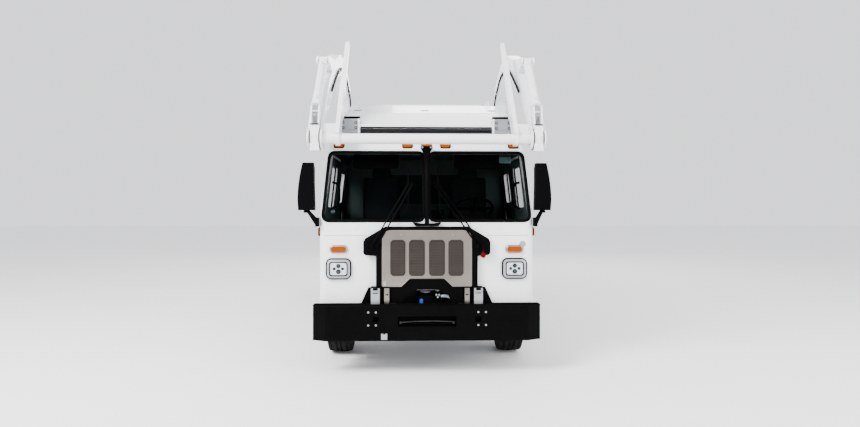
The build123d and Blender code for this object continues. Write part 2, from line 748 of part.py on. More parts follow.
def cab_inside():
    """Dashboard with the steering column and wheel, engine cover, and two seats."""
    inner_half = cab_half - cab_wall
    with BuildPart() as dash:
        with BuildSketch(side_plane(-inner_half + 55)):
            with BuildLine():
                Polyline(
                    (st(cab_front + cab_wall), cab_floor + 50), (st(cab_front + cab_wall), 1625),
                    (st(cab_front + cab_wall + 30), 1655), (st(460), 1610), (st(500), 1540), (st(400), 1350),
                    (st(360), cab_floor + 50), close=True,
                )
            make_face()
        extrude(amount=2 * inner_half - 110)
        x, station, height = wheel_centre
        lean = radians(steering_lean)
        column = Plane(origin=(x, st(station), height), x_dir=(1, 0, 0), z_dir=(0, sin(lean), cos(lean)))
        with BuildSketch(column.offset(-330)):
            Circle(36)
        extrude(amount=345)
        with Locations(Location(column)):
            Torus(steering_wheel_radius, steering_rim)
        with BuildSketch(column.offset(-9)):
            Rectangle(2 * steering_wheel_radius, 34)
            with Locations((0, -steering_wheel_radius / 2)):
                Rectangle(34, steering_wheel_radius)
        extrude(amount=14)
        block((-230, 230), (540, 1500), (cab_floor + 50, cab_floor + 240))
        chamfer(dash.edges().filter_by(Axis.Y).group_by(Axis.Z)[-1], 60)
    keep(dash, "dashboard")

    with BuildPart() as seats:
        for x in seat_places:
            with BuildSketch(side_plane(x - 235)):
                with BuildLine():
                    Polyline(
                        (st(900), 1520), (st(920), 1630), (st(1330), 1605), (st(1420), 2200), (st(1520), 2200),
                        (st(1470), 1520), close=True,
                    )
                make_face()
            extrude(amount=470)
            block((x - 170, x + 170), (1000, 1400), (cab_floor + 50, 1520))
        fillet(seats.edges().filter_by(Axis.X).group_by(Axis.Z)[-1], 35)
    keep(seats, "seats")


wiper_height, wiper_pivot_radius, wiper_arm_radius = 1373, 34, 6


def wipers():
    """Two pantograph wipers: a pivot on the cowl, two bent arms and an upright blade each."""
    cowl = cab_front - surround_depth
    low, mid, high = ((z - belt_height) / cos(screen_lean) for z in (1745, 2040, 2250))
    with BuildPart() as part:
        # pivot x, blade foot x, blade top x
        for pivot_x, foot_x, top_x in ((-598, -210, -205), (606, 150, 117)):
            middle_x = (foot_x + top_x) / 2
            end = screen_plane.from_local_coords((middle_x, mid, 32))
            for lift in (0, 34):
                over = pivot_x + (middle_x - pivot_x) * 0.34
                with BuildLine() as path:
                    Polyline(
                        (pivot_x, st(cowl - 30), wiper_height + lift),
                        (over, st(cowl - 16), wiper_height + lift + 235),
                        (middle_x, end.Y, end.Z + lift),
                    )
                start = path.line @ 0
                with BuildSketch(Plane(origin=start, z_dir=path.line % 0)):
                    Circle(wiper_arm_radius)
                sweep(path=path.line, transition=Transition.RIGHT)
            with Locations(Location((pivot_x, st(cowl - 22), wiper_height + 17), (90, 0, 0))):
                Cylinder(wiper_pivot_radius, 44)
            with BuildSketch(screen_plane.offset(20)):
                with BuildLine():
                    Polyline(
                        (foot_x - 9, low), (top_x - 9, high), (top_x + 9, high), (foot_x + 9, low), close=True
                    )
                make_face()
            extrude(amount=18)
    keep(part, "wipers")


def lamps():
    """Headlamps in their bezels, and every amber lamp."""
    with BuildPart() as head:
        with BuildSketch(section_plane(cab_front)):
            with Locations((965, 1138)):
                RectangleRounded(278, 231, 62)
        extrude(amount=28)
        with BuildSketch(section_plane(cab_front - 28)):
            with Locations((965, 1138)):
                RectangleRounded(186, 142, 24)
        extrude(amount=8)
        mirror(about=Plane.YZ)
    keep(head, "headlamps")

    with BuildPart() as amber:
        with BuildSketch(section_plane(cab_front)):
            with Locations((965, 1352)):
                SlotOverall(195, 84)
        extrude(amount=22)
        with BuildSketch(side_plane(cab_half)):
            with Locations((st(270), 1540)):
                SlotOverall(90, 56, rotation=90)
        extrude(amount=18)
        mirror(about=Plane.YZ)
        with BuildSketch(brow_plane):
            with Locations(*((x, 95) for x in marker_x)):
                SlotOverall(104, 46)
        extrude(amount=24, taper=12)
    keep(amber, "turn_lamps")

    with BuildPart() as tail:
        with BuildSketch(section_plane(rail_end)):
            with Locations(*((x, guard_low + 55) for x in tail_lamp_x)):
                SlotOverall(170, 68)
        extrude(amount=-26, taper=10)
        mirror(about=Plane.YZ)
    keep(tail, "tail_lamps")


# each mirror head: side, middle of the head from the truck's middle
mirror_rows = ((-1, 1322), (1, 1284))
mirror_low, mirror_high, mirror_half = 1778, 2300, 92
mirror_front, mirror_depth = 152, 112


def mirrors():
    """A tall mirror head each side, rounded on its outer side, carried from below on a curved arm."""
    with BuildPart() as pair:
        for side, middle in mirror_rows:
            with BuildSketch(section_plane(mirror_front)):
                with BuildLine():
                    inner, outer = side * (middle - mirror_half), side * (middle + mirror_half)
                    Line((inner, mirror_low), (inner + side * 14, mirror_high))
                    Line((inner + side * 14, mirror_high), (outer - side * 55, mirror_high))
                    ThreePointArc(
                        (outer - side * 55, mirror_high), (outer - side * 12, mirror_high - 230),
                        (outer, mirror_low + 120),
                    )
                    Line((outer, mirror_low + 120), (outer - side * 8, mirror_low))
                    Line((outer - side * 8, mirror_low), (inner, mirror_low))
                make_face()
            extrude(amount=-mirror_depth)
        fillet(pair.edges().filter_by(GeomType.LINE).group_by(Axis.Y)[0], 16)
        for side, middle in mirror_rows:
            foot = side * (cab_half + 22)
            low, high = sorted((side * cab_half, side * (cab_half + 34)))
            block((low, high), (150, 250), (1600, 1700))
            with BuildSketch(section_plane(185)):
                with BuildLine():
                    Polyline(
                        (foot - side * 12, 1612), (foot - side * 12, 1680), (side * middle - side * 14, 1800),
                        (side * middle + side * 22, 1800), (foot + side * 12, 1612), close=True,
                    )
                make_face()
            extrude(amount=-32)
    keep(pair, "mirrors")


# ---------------------------------------------------------------- lift arms and forks
def offset_points(points, half):
    """Outer and inner outline points of a bar along a centreline, mitred at each bend."""
    vectors = [Vector(*p) for p in points]
    left, right = [], []
    for i, point in enumerate(vectors):
        before = (point - vectors[max(i - 1, 0)])
        after = (vectors[min(i + 1, len(vectors) - 1)] - point)
        directions = [d.normalized() for d in (before, after) if d.length > 0]
        mean = sum(directions[1:], directions[0]).normalized()
        normal = Vector(-mean.Y, mean.X)
        miter = half[i] / max(0.5, abs(normal.dot(Vector(-directions[0].Y, directions[0].X))))
        left.append(tuple(point + normal * miter)[:2])
        right.append(tuple(point - normal * miter)[:2])
    return left, right


# centreline of an arm from its pivot to the fork tube, as (station, height, half depth)
arm_line = (
    (pivot_station, pivot_height, 150),
    (2740, 1960, 150),
    (3270, 2560, 145),
    (3270, 3080, 140),
    (2880, 3560, 135),
    (2300, 3765, 132),
    (1780, 3765, 130),
    (1350, 3610, 125),
    (740, 3235, 112),
    (400, 2915, 102),
    (tube_station, tube_height, 98),
)


def lift_arms():
    """Two box arms that arch over the cab, with lift cranks, cylinder lugs and forked ends."""
    left, right = offset_points([(st(s), h) for s, h, _ in arm_line], [d for _, _, d in arm_line])
    with BuildPart() as arms:
        with BuildSketch(side_plane(arm_inner_x)):
            with BuildLine():
                FilletPolyline(*left, radius=120)
                FilletPolyline(*right, radius=120)
                Line(left[0], right[0])
                Line(left[-1], right[-1])
            make_face()
            with Locations((st(pivot_station), pivot_height)):
                Circle(pivot_hub_radius)
            with Locations((st(tube_station), tube_height)):
                Circle(115)
        extrude(amount=arm_width)
        # lug for the fork cylinder's base
        with BuildSketch(side_plane(arm_inner_x)):
            with BuildLine():
                Polyline(
                    (st(fork_base[0] - 50), fork_base[1]), (st(fork_base[0] + 20), fork_base[1] + 46),
                    (st(1270), 3690), (st(1000), 3390), close=True,
                )
            make_face()
            with Locations((st(fork_base[0]), fork_base[1])):
                Circle(50)
        extrude(amount=arm_width)
        # lift crank below the pivot
        with BuildSketch(side_plane(arm_inner_x)):
            with BuildLine():
                Polyline(
                    (st(pivot_station - 120), pivot_height - 60), (st(lift_eye[0] - 70), lift_eye[1]),
                    (st(lift_eye[0] + 70), lift_eye[1]), (st(pivot_station + 120), pivot_height - 60),
                    close=True,
                )
            make_face()
            with Locations((st(lift_eye[0]), lift_eye[1])):
                Circle(70)
        extrude(amount=arm_width)
        # room between the plates for the cranks, eyes and barrels
        slot = (arm_inner_x + arm_plate, arm_outer_x - arm_plate)
        with BuildSketch(side_plane(slot[0])):
            with Locations((st(tube_station), tube_height)):
                Circle(270)
        extrude(amount=slot[1] - slot[0], mode=Mode.SUBTRACT)
        with BuildSketch(side_plane(slot[0])):
            with BuildLine():
                Polyline(
                    (st(fork_base[0] - 200), fork_base[1] - 170), (st(fork_base[0] - 200), fork_base[1] + 200),
                    (st(fork_base[0] + 130), fork_base[1] + 200), (st(fork_base[0] + 130), fork_base[1] - 170),
                    close=True,
                )
            make_face()
        extrude(amount=slot[1] - slot[0], mode=Mode.SUBTRACT)
        with BuildSketch(side_plane(slot[0])):
            with Locations((st(pivot_station), pivot_height)):
                Circle(lift_slot_outer)
            with Locations((st(pivot_station), pivot_height + lift_slot_outer - 15)):
                Rectangle(2 * lift_slot_outer, 2 * lift_slot_outer, mode=Mode.SUBTRACT)
            with Locations((st(pivot_station), pivot_height)):
                Circle(lift_slot_inner, mode=Mode.SUBTRACT)
        extrude(amount=slot[1] - slot[0], mode=Mode.SUBTRACT)
        # bores, and the pin that holds the fork cylinder's base
        cross_bar(arm_inner_x - 10, arm_outer_x + 10, *pivot, pivot_pin_radius + pin_clearance, Mode.SUBTRACT)
        cross_bar(arm_inner_x - 10, arm_outer_x + 10, *tube, tube_radius + pin_clearance, Mode.SUBTRACT)
        cross_bar(arm_inner_x, arm_outer_x, *fork_base, fork_pin_radius)
        mirror(about=Plane.YZ)
    keep(arms, "lift_arms")


fork_angle, fork_length = 127, 1640
fork_heel, fork_tip = 105, 26


def forks():
    """Cross tube with two fork blades, a gusset beside each, and the cranks at its ends."""
    ds, dh = swing(fork_angle, 1)
    across = (dh, -ds)
    with BuildPart() as part:
        cross_bar(-(arm_outer_x + pin_clearance), arm_outer_x + pin_clearance, *tube, tube_radius)
        cross_bar(arm_outer_x + pin_clearance, arm_outer_x + 12, *tube, 72)
        # blade
        with BuildSketch(side_plane(fork_x - fork_thickness / 2)):
            def along(length, offset):
                return (
                    st(tube[0] + ds * length + across[0] * offset),
                    tube[1] + dh * length + across[1] * offset,
                )
            with BuildLine():
                Polyline(
                    along(0, 60), along(420, 55), along(1250, 50), along(fork_length, fork_tip),
                    along(fork_length, -fork_tip), along(1250, -60), along(420, -95), along(0, -fork_heel),
                    close=True,
                )
            make_face()
            with Locations((st(tube[0]), tube[1])):
                Circle(tube_radius + 20)
        extrude(amount=fork_thickness)
        block((fork_x, arm_inner_x - move_gap), (tube[0] - 12, tube[0] + 12), (tube[1], tube[1] + 165))
        # crank, with a stop block below and a clevis above
        crank = (arm_inner_x + arm_plate + move_gap, arm_outer_x - arm_plate - move_gap)
        with BuildSketch(side_plane(crank[0])):
            with BuildLine():
                Polyline(
                    (st(tube[0] - 95), tube[1] - 135), (st(tube[0] - 105), tube[1] + 20),
                    (st(fork_eye[0] - 55), fork_eye[1]), (st(fork_eye[0] + 55), fork_eye[1]),
                    (st(tube[0] + 85), tube[1] + 20), (st(tube[0] + 60), tube[1] - 135), close=True,
                )
            make_face()
            with Locations((st(fork_eye[0]), fork_eye[1])):
                Circle(55)
        extrude(amount=crank[1] - crank[0])
        clevis = fork_eye_width / 2 + pin_clearance
        block((arm_x - clevis, arm_x + clevis), (tube[0] - 300, tube[0] + 300),
              (tube[1] + fork_clevis_floor, fork_eye[1] + 100), Mode.SUBTRACT)
        mirror(about=Plane.YZ)
    keep(part, "forks")


# ---------------------------------------------------------------- cylinders
def barrel(base, eye, x, radius, rod_radius, pin_radius, eye_radius, width, closed, name):
    """A pair of cylinder barrels, bored for their rods, each with an eye round its base pin."""
    length, angle = reach(base, eye)
    with BuildPart() as part:
        plane = Plane(
            origin=(x, st(base[0]), base[1]),
            x_dir=(1, 0, 0),
            z_dir=(0, -cos(radians(angle)), sin(radians(angle))),
        )
        with BuildSketch(plane.offset(eye_radius - 4)):
            Circle(radius)
        extrude(amount=closed - eye_radius + 4)
        with BuildSketch(plane.offset(closed - 60)):
            Circle(radius + 6)
        extrude(amount=60)
        cross_bar(x - width / 2, x + width / 2, *base, eye_radius)
        with BuildSketch(plane.offset(eye_radius + 30)):
            Circle(rod_radius + pin_clearance)
        extrude(amount=closed, mode=Mode.SUBTRACT)
        cross_bar(x - width, x + width, *base, pin_radius + pin_clearance, Mode.SUBTRACT)
        mirror(about=Plane.YZ)
    keep(part, name)


def rod(base, eye, x, rod_radius, eye_radius, width, start, name):
    """A pair of cylinder rods, each ending in a solid eye beside its lug."""
    length, angle = reach(base, eye)
    with BuildPart() as part:
        plane = Plane(
            origin=(x, st(base[0]), base[1]),
            x_dir=(1, 0, 0),
            z_dir=(0, -cos(radians(angle)), sin(radians(angle))),
        )
        with BuildSketch(plane.offset(start)):
            Circle(rod_radius)
        extrude(amount=length - start)
        cross_bar(x - width / 2, x + width / 2, *eye, eye_radius)
        mirror(about=Plane.YZ)
    keep(part, name)


def cylinders():
    """The lift, fork and tailgate cylinders."""
    barrel(lift_base, lift_eye, arm_x, lift_barrel_radius, lift_rod_radius, lift_pin_radius,
           lift_eye_radius, 90, 1070, "lift_barrels")
    rod(lift_base, lift_eye, arm_x, lift_rod_radius, 50, arm_width - 2 * arm_plate - 2 * pin_clearance, 420,
        "lift_rods")
    barrel(fork_base, fork_eye, arm_x, fork_barrel_radius, fork_rod_radius, fork_pin_radius,
           fork_eye_radius, 90, 830, "fork_barrels")
    rod(fork_base, fork_eye, arm_x, fork_rod_radius, fork_eye_radius, fork_eye_width, 200, "fork_rods")
    barrel(tail_base, tail_eye, tail_cylinder_x, tail_barrel_radius, tail_rod_radius, tail_pin_radius,
           tail_eye_radius, 70, 1240, "tailgate_barrels")
    rod(tail_base, tail_eye, tail_cylinder_x, tail_rod_radius, tail_eye_radius, 70, 300, "tailgate_rods")


# ---------------------------------------------------------------- hopper and body
ejector_front = 2160
lid_front, lid_back, lid_half = 2660, 4330, 870
opening_front, opening_back, opening_half = 2700, 4280, 800
lid_rail_end = 6200
hopper_slope_station, hopper_slope_height = 1920, 3236


def hopper():
    """Hopper behind the cab: a tub open at the back and top, with slide rails for its lid."""
    with BuildPart() as part:
        with BuildSketch(side_plane(-hopper_half)):
            with BuildLine():
                Polyline(
                    (st(hopper_front), floor_low), (st(hopper_front), hopper_lip), (st(2500), top_height),
                    (st(hopper_back), top_height), (st(hopper_back), floor_low), close=True,
                )
            make_face()
        extrude(amount=2 * hopper_half)
        inner = hopper_half - hopper_wall
        with BuildSketch(side_plane(-inner)):
            with BuildLine():
                Polyline(
                    (st(hopper_front + hopper_wall), floor_high), (st(hopper_front + hopper_wall), 3195),
                    (st(2500), top_height - 40), (st(hopper_back + 10), top_height - 40),
                    (st(hopper_back + 10), floor_high), close=True,
                )
            make_face()
        extrude(amount=2 * inner, mode=Mode.SUBTRACT)
        block((-opening_half, opening_half), (opening_front, opening_back),
              (top_height - 320, top_height + 180), Mode.SUBTRACT)
        for x in (-opening_half - 70, opening_half + 10):
            block((x, x + 60), (lid_front, hopper_back), (top_height, top_height + 30))
    keep(part, "hopper")


def body_shell():
    """Packer body: a ribbed box open at both ends, with lid rails on its roof."""
    with BuildPart() as part:
        with BuildSketch(section_plane(hopper_back)):
            with Locations((0, (floor_low + top_height) / 2)):
                Rectangle(2 * body_half, top_height - floor_low)
        extrude(amount=-(body_back - hopper_back))
        chamfer(part.edges().filter_by(Axis.Y).group_by(Axis.Z)[-1], roof_edge)
        with BuildSketch(section_plane(hopper_back + body_wall)):
            with Locations((0, (floor_high + top_height - body_wall) / 2)):
                Rectangle(2 * (body_half - body_wall), top_height - body_wall - floor_high)
        extrude(amount=-(body_back - hopper_back), mode=Mode.SUBTRACT)
        block((hopper_wall - hopper_half, hopper_half - hopper_wall), (hopper_back - 10, hopper_back + 100),
              (floor_high, top_height - body_wall), Mode.SUBTRACT)
        for station in rib_stations:
            block((body_half, body_half + rib_depth), (station, station + rib_length), (floor_low, top_height - roof_edge))
            block((-body_half - rib_depth, -body_half), (station, station + rib_length), (floor_low, top_height - roof_edge))
        for x in (-opening_half - 70, opening_half + 10):
            block((x, x + 60), (hopper_back, lid_rail_end), (top_height, top_height + 30))
        # hinge lugs of the tailgate
        for x in (-900, -60, 780):
            block((x, x + 120), (body_back - 110, body_back), (top_height - 20, tail_hinge[1] + 30))
            cross_bar(x + 10, x + 110, *tail_hinge, 28)
            block((x + 30, x + 90), (body_back - 90, body_back + 60),
                  (tail_hinge[1] - 32, tail_hinge[1] + 32), Mode.SUBTRACT)
            cross_bar(x + 10, x + 110, *tail_hinge, 20)
        # base pins of the tailgate cylinders
        cross_bar(body_half, tail_cylinder_x - 35 - pin_clearance, *tail_base, 36)
        cross_bar(body_half, tail_cylinder_x + 40, *tail_base, tail_pin_radius)
        cross_bar(-(tail_cylinder_x - 35 - pin_clearance), -body_half, *tail_base, 36)
        cross_bar(-(tail_cylinder_x + 40), -body_half, *tail_base, tail_pin_radius)
    keep(part, "body_shell")


# cross bearers under the body: station, half length (shorter over the rear wheels)
bearer_rows = ((2060, 980), (3100, 980), (4300, 980), (5300, 750), (6300, 750), (7300, 750), (8100, 980))


def body_sills():
    """Long sills under the body, and the side brackets that carry the arm and cylinder pins."""
    outer = rail_spacing / 2
    with BuildPart() as part:
        block((outer - 80, outer), (2000, body_back), (rail_top, floor_low))
        mirror(about=Plane.YZ)
        for station, half in bearer_rows:
            block((-half, half), (station, station + 70), (rail_top + 20, floor_low))
    keep(part, "body_sills")

    with BuildPart() as pins:
        face = hopper_half
        block((face, face + 25), (1965, 2560), (1010, 1720))
        block((face, face + 25), (lift_base[0] - 160, lift_base[0] + 110), (lift_base[1] - 90, 1330))
        block((face - 60, face), (1965, lift_base[0] + 110), (1010, rail_top + 20))
        cross_bar(face + 20, arm_inner_x - pin_clearance, *pivot, 110)
        cross_bar(face + 20, arm_outer_x + 10, *pivot, pivot_pin_radius)
        cross_bar(face + 20, arm_x - 45 - pin_clearance, *lift_base, 55)
        cross_bar(face + 20, arm_x + 60, *lift_base, lift_pin_radius)
        mirror(about=Plane.YZ)
    keep(pins, "arm_pivots")


bracket_x = (762, 990)  # the two corner brackets, from the truck's middle


def canopy():
    """Sloping guard sheet over the cab, with two bolted corner brackets at its front."""
    with BuildPart() as part:
        with BuildSketch(side_plane(-990)):
            with BuildLine():
                Polyline(
                    (st(450), 2715), (st(450), 2762), (st(1000), 2978), (st(hopper_front), hopper_lip),
                    (st(hopper_front), hopper_lip - 20), (st(1005), 2960), (st(462), 2746), (st(462), 2715), close=True,
                )
            make_face()
        extrude(amount=1980)
        for x in (-990, 975):
            with BuildSketch(side_plane(x)):
                with BuildLine():
                    Polyline(
                        (st(462), 2700), (st(462), 2760), (st(1000), 2970), (st(hopper_front), hopper_lip - 10),
                        (st(hopper_front), 2720), (st(1500), 2720), (st(1000), 2700), close=True,
                    )
                make_face()
            extrude(amount=15)
        # cut the front corners back for the brackets
        low, high = bracket_x[0] - 4, bracket_x[1] + 10
        for x in ((-high, -low), (low, high)):
            block(x, (420, 561), (2650, 2900), Mode.SUBTRACT)
    keep(part, "cab_canopy")

    with BuildPart() as brackets:
        low, high = bracket_x
        block((low + 10, high - 10), (440, 446), (2660, 2806))
        for x in (low, high - 10):
            block((x, x + 10), (436, 560), (2660, 2822))
        block((low, high), (436, 560), (2806, 2822))
        with Locations(Location(((low + high) / 2, st(443), 2748), (90, 0, 0))):
            with GridLocations(145, 60, 2, 2):
                Cylinder(7, 40, mode=Mode.SUBTRACT)
        mirror(about=Plane.YZ)
    keep(brackets, "canopy_brackets")


def lid_and_ejector():
    """Sliding hopper lid, and the ejector panel that sweeps the body."""
    with BuildPart() as lid:
        low = top_height + 30 + pin_clearance
        block((-lid_half - 8, lid_half + 8), (lid_front, lid_back), (low, low + 28))
        for x in (-lid_half + 70, -8, lid_half - 86):
            block((x, x + 16), (lid_front + 60, lid_back - 60), (low + 28, low + 44))
    keep(lid, "hopper_lid")

    with BuildPart() as ejector:
        half = hopper_half - hopper_wall - 10
        low = floor_high + pin_clearance
        with BuildSketch(side_plane(-half)):
            with BuildLine():
                Polyline(
                    (st(ejector_front), low), (st(ejector_front), 1500), (st(ejector_front + 60), 2500),
                    (st(ejector_front + 110), 2500), (st(ejector_front + 60), 1500),
                    (st(ejector_front + 60), low), close=True,
                )
            make_face()
        extrude(amount=2 * half)
        for x in (-half, -12, half - 24):
            block((x, x + 24), (ejector_front - 150, ejector_front), (low, 1900))
    keep(ejector, "ejector_panel")


def tailgate():
    """Bustle-shaped tailgate, hollow and open to the body, hinged along its top edge."""
    front, low = body_back + door_gap, 1060
    half = body_half + rib_depth
    with BuildPart() as part:
        with BuildSketch(side_plane(-half)):
            with BuildLine():
                Polyline(
                    (st(front), low), (st(front), top_height - 20), (st(front + 420), top_height - 20),
                    (st(overall_length), 2450), (st(overall_length), 1750), (st(front + 700), low), close=True,
                )
            make_face()
        extrude(amount=2 * half)
        with BuildSketch(side_plane(-half + body_wall)):
            with BuildLine():
                Polyline(
                    (st(front - 10), low + 120), (st(front - 10), top_height - 80),
                    (st(front + 400), top_height - 80), (st(overall_length - body_wall), 2440),
                    (st(overall_length - body_wall), 1775), (st(front + 680), low + 120), close=True,
                )
            make_face()
        extrude(amount=2 * (half - body_wall), mode=Mode.SUBTRACT)
        for x in (-900, -60, 780):
            block((x + 36, x + 84), (body_back - 15, front + 160), (tail_hinge[1] - 22, tail_hinge[1] + 22))
            block((x + 36, x + 84), (front + 40, front + 160), (top_height - 30, tail_hinge[1] + 22))
            cross_bar(x, x + 200, *tail_hinge, 20 + pin_clearance, Mode.SUBTRACT)
        boss_x = tail_cylinder_x - 35 - pin_clearance
        cross_bar(half, boss_x, *tail_eye, tail_eye_radius)
        cross_bar(-boss_x, -half, *tail_eye, tail_eye_radius)
    keep(part, "tailgate")


def main():
    """Builds every piece."""
    chassis_frame()
    cab_mounts()
    front_axle()
    rear_axles()
    knuckle(1, "knuckle_left")
    knuckle(-1, "knuckle_right")
    for side, name in ((1, "left"), (-1, "right")):
        front_wheel(side, f"front_tyre_{name}", f"front_rim_{name}")
        for row, station in zip(("middle", "rear"), rear_axle_stations):
            rear_wheels(side, station, f"{row}_tyres_{name}", f"{row}_rims_{name}")
    engine_block()
    side_tanks()
    rear_fenders()
    front_bumper()
    front_supports()
    front_steps()
    service_unit()
    cab()
    cab_inside()
    wipers()
    grille()
    lamps()
    mirrors()
    lift_arms()
    forks()
    cylinders()
    hopper()
    body_shell()
    body_sills()
    canopy()
    lid_and_ejector()
    tailgate()


main()
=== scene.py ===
"""Dresses the front-loading garbage truck: finishes for its solids, and the fittings they carry.

Metres, in the frame of the solids: +X is the truck's left side, the cab faces -Y and +Z is up.
Stations run back from the bumper's face, and st() turns a station into a Y value.
"""

from __future__ import annotations

import logging
import math
from dataclasses import dataclass
from enum import Enum
from typing import Iterable, Sequence

import bmesh
import bpy
from mathutils import Matrix, Vector


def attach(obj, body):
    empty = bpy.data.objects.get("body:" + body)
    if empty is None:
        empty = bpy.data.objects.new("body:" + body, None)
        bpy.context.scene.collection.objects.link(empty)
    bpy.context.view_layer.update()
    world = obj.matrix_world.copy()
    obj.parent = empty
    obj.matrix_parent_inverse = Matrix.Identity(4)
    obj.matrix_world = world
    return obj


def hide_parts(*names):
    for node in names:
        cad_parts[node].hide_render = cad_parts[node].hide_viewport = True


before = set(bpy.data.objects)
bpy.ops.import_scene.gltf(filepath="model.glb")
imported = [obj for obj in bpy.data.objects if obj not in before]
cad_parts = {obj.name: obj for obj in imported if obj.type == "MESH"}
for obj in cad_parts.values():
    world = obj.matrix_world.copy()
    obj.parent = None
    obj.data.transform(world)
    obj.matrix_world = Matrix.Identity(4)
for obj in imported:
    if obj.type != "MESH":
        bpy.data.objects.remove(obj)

logging.basicConfig(level=logging.INFO, format="%(name)s: %(message)s")
LOG = logging.getLogger("truck")

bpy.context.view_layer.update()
OVERALL_LENGTH = 9.3
Point = tuple[float, float, float]
Pair = tuple[float, float]


def st(station: float) -> float:
    """Turns a station into a Y value.

    Args:
        station: metres back from the bumper's face.

    Returns:
        The Y value in the truck's frame.
    """
    return station - OVERALL_LENGTH / 2


# ---------------------------------------------------------------- shader building
class Socket:
    """An output socket that takes part in arithmetic, each operation being one Math node."""

    def __init__(self, ink: "Ink", link: bpy.types.NodeSocket) -> None:
        """Wraps one socket.

        Args:
            ink: the node tree's builder.
            link: the output socket.
        """
        self.ink = ink
        self.link = link

    def math(self, operation: str, *others: "Socket | float") -> "Socket":
        """One Math node on this socket and others.

        Args:
            operation: the node's operation.
            others: further values or sockets.

        Returns:
            The node's result.
        """
        return self.ink.node("ShaderNodeMath", {"operation": operation}, dict(enumerate((self, *others))))

    def __add__(self, other: "Socket | float") -> "Socket":
        """Sum."""
        return self.math("ADD", other)

    def __radd__(self, other: float) -> "Socket":
        """Sum with a number first."""
        return self.math("ADD", other)

    def __sub__(self, other: "Socket | float") -> "Socket":
        """Difference."""
        return self.math("SUBTRACT", other)

    def __rsub__(self, other: float) -> "Socket":
        """A number less this socket."""
        return self.ink.node("ShaderNodeMath", {"operation": "SUBTRACT"}, {0: other, 1: self})

    def __mul__(self, other: "Socket | float") -> "Socket":
        """Product."""
        return self.math("MULTIPLY", other)

    def __rmul__(self, other: float) -> "Socket":
        """Product with a number first."""
        return self.math("MULTIPLY", other)

    def ramp(self, low: float, high: float) -> "Socket":
        """A smooth step.

        Args:
            low: where it starts from 0.
            high: where it reaches 1.

        Returns:
            The step's value.
        """
        settings = {"interpolation_type": "SMOOTHSTEP"}
        return self.ink.node("ShaderNodeMapRange", settings, {0: self, 1: low, 2: high, 3: 0.0, 4: 1.0})


class Ink:
    """Builds one material's node tree."""

    def __init__(self, name: str) -> None:
        """Starts an empty material.

        Args:
            name: the material's name.
        """
        self.material = bpy.data.materials.new(name)
        self.material.use_nodes = True
        self.tree = self.material.node_tree
        self.tree.nodes.clear()
        self.output = self.tree.nodes.new("ShaderNodeOutputMaterial")

    def node(
        self, kind: str, settings: dict | None = None, inputs: dict | None = None, out: int | str = 0,
    ) -> Socket:
        """Adds a node of any type.

        Args:
            kind: the node's type.
            settings: its properties, set first.
            inputs: values or sockets by input name or number.
            out: which output is wanted.

        Returns:
            The wanted output as a socket.
        """
        node = self.tree.nodes.new(kind)
        for key, value in (settings or {}).items():
            setattr(node, key, value)
        for key, value in (inputs or {}).items():
            socket = node.inputs[key]
            if isinstance(value, Socket):
                self.tree.links.new(value.link, socket)
            else:
                socket.default_value = value
        return Socket(self, node.outputs[out])

    def mix(self, factor: Socket | float, a: object, b: object) -> Socket:
        """Mixes two colours.

        Args:
            factor: 0 gives a, 1 gives b.
            a: colour or socket.
            b: colour or socket.

        Returns:
            The mixed colour.
        """
        settings = {"data_type": "RGBA", "blend_type": "MIX"}
        return self.node("ShaderNodeMix", settings, {0: factor, 6: a, 7: b}, 2)

    def place(self) -> Socket:
        """The object's own coordinates, which go with it when it moves."""
        return self.node("ShaderNodeTexCoord", out="Object")

    def noise(self, scale: float, detail: float = 3.0, stretch: Point = (1, 1, 1)) -> Socket:
        """Noise from 0 to 1.

        Args:
            scale: cells per metre.
            detail: octaves.
            stretch: scale by axis.

        Returns:
            The noise value.
        """
        mapped = self.node("ShaderNodeMapping", None, {"Vector": self.place(), "Scale": stretch})
        inputs = {"Vector": mapped, "Scale": scale, "Detail": detail, "Roughness": 0.6}
        return self.node("ShaderNodeTexNoise", None, inputs, 0)

    def axis(self, letter: str) -> Socket:
        """One coordinate of the object's own place.

        Args:
            letter: X, Y or Z.

        Returns:
            The coordinate.
        """
        return self.node("ShaderNodeSeparateXYZ", None, {0: self.place()}, letter)

    def bump(self, height: Socket, distance: float) -> Socket:
        """A bumped normal.

        Args:
            height: the bump, in units of the distance.
            distance: in metres.

        Returns:
            The normal.
        """
        return self.node("ShaderNodeBump", None, {"Height": height, "Distance": distance, "Strength": 1.0})

    def finish(self, shader: Socket) -> bpy.types.Material:
        """Joins the shader to the output.

        Args:
            shader: the surface's shader.

        Returns:
            The material.
        """
        self.tree.links.new(shader.link, self.output.inputs["Surface"])
        return self.material


Colour = tuple[float, float, float]


def rgba(colour: Colour) -> tuple[float, float, float, float]:
    """A colour with full alpha.

    Args:
        colour: red, green and blue.

    Returns:
        The colour with its alpha.
    """
    return (*colour, 1.0)


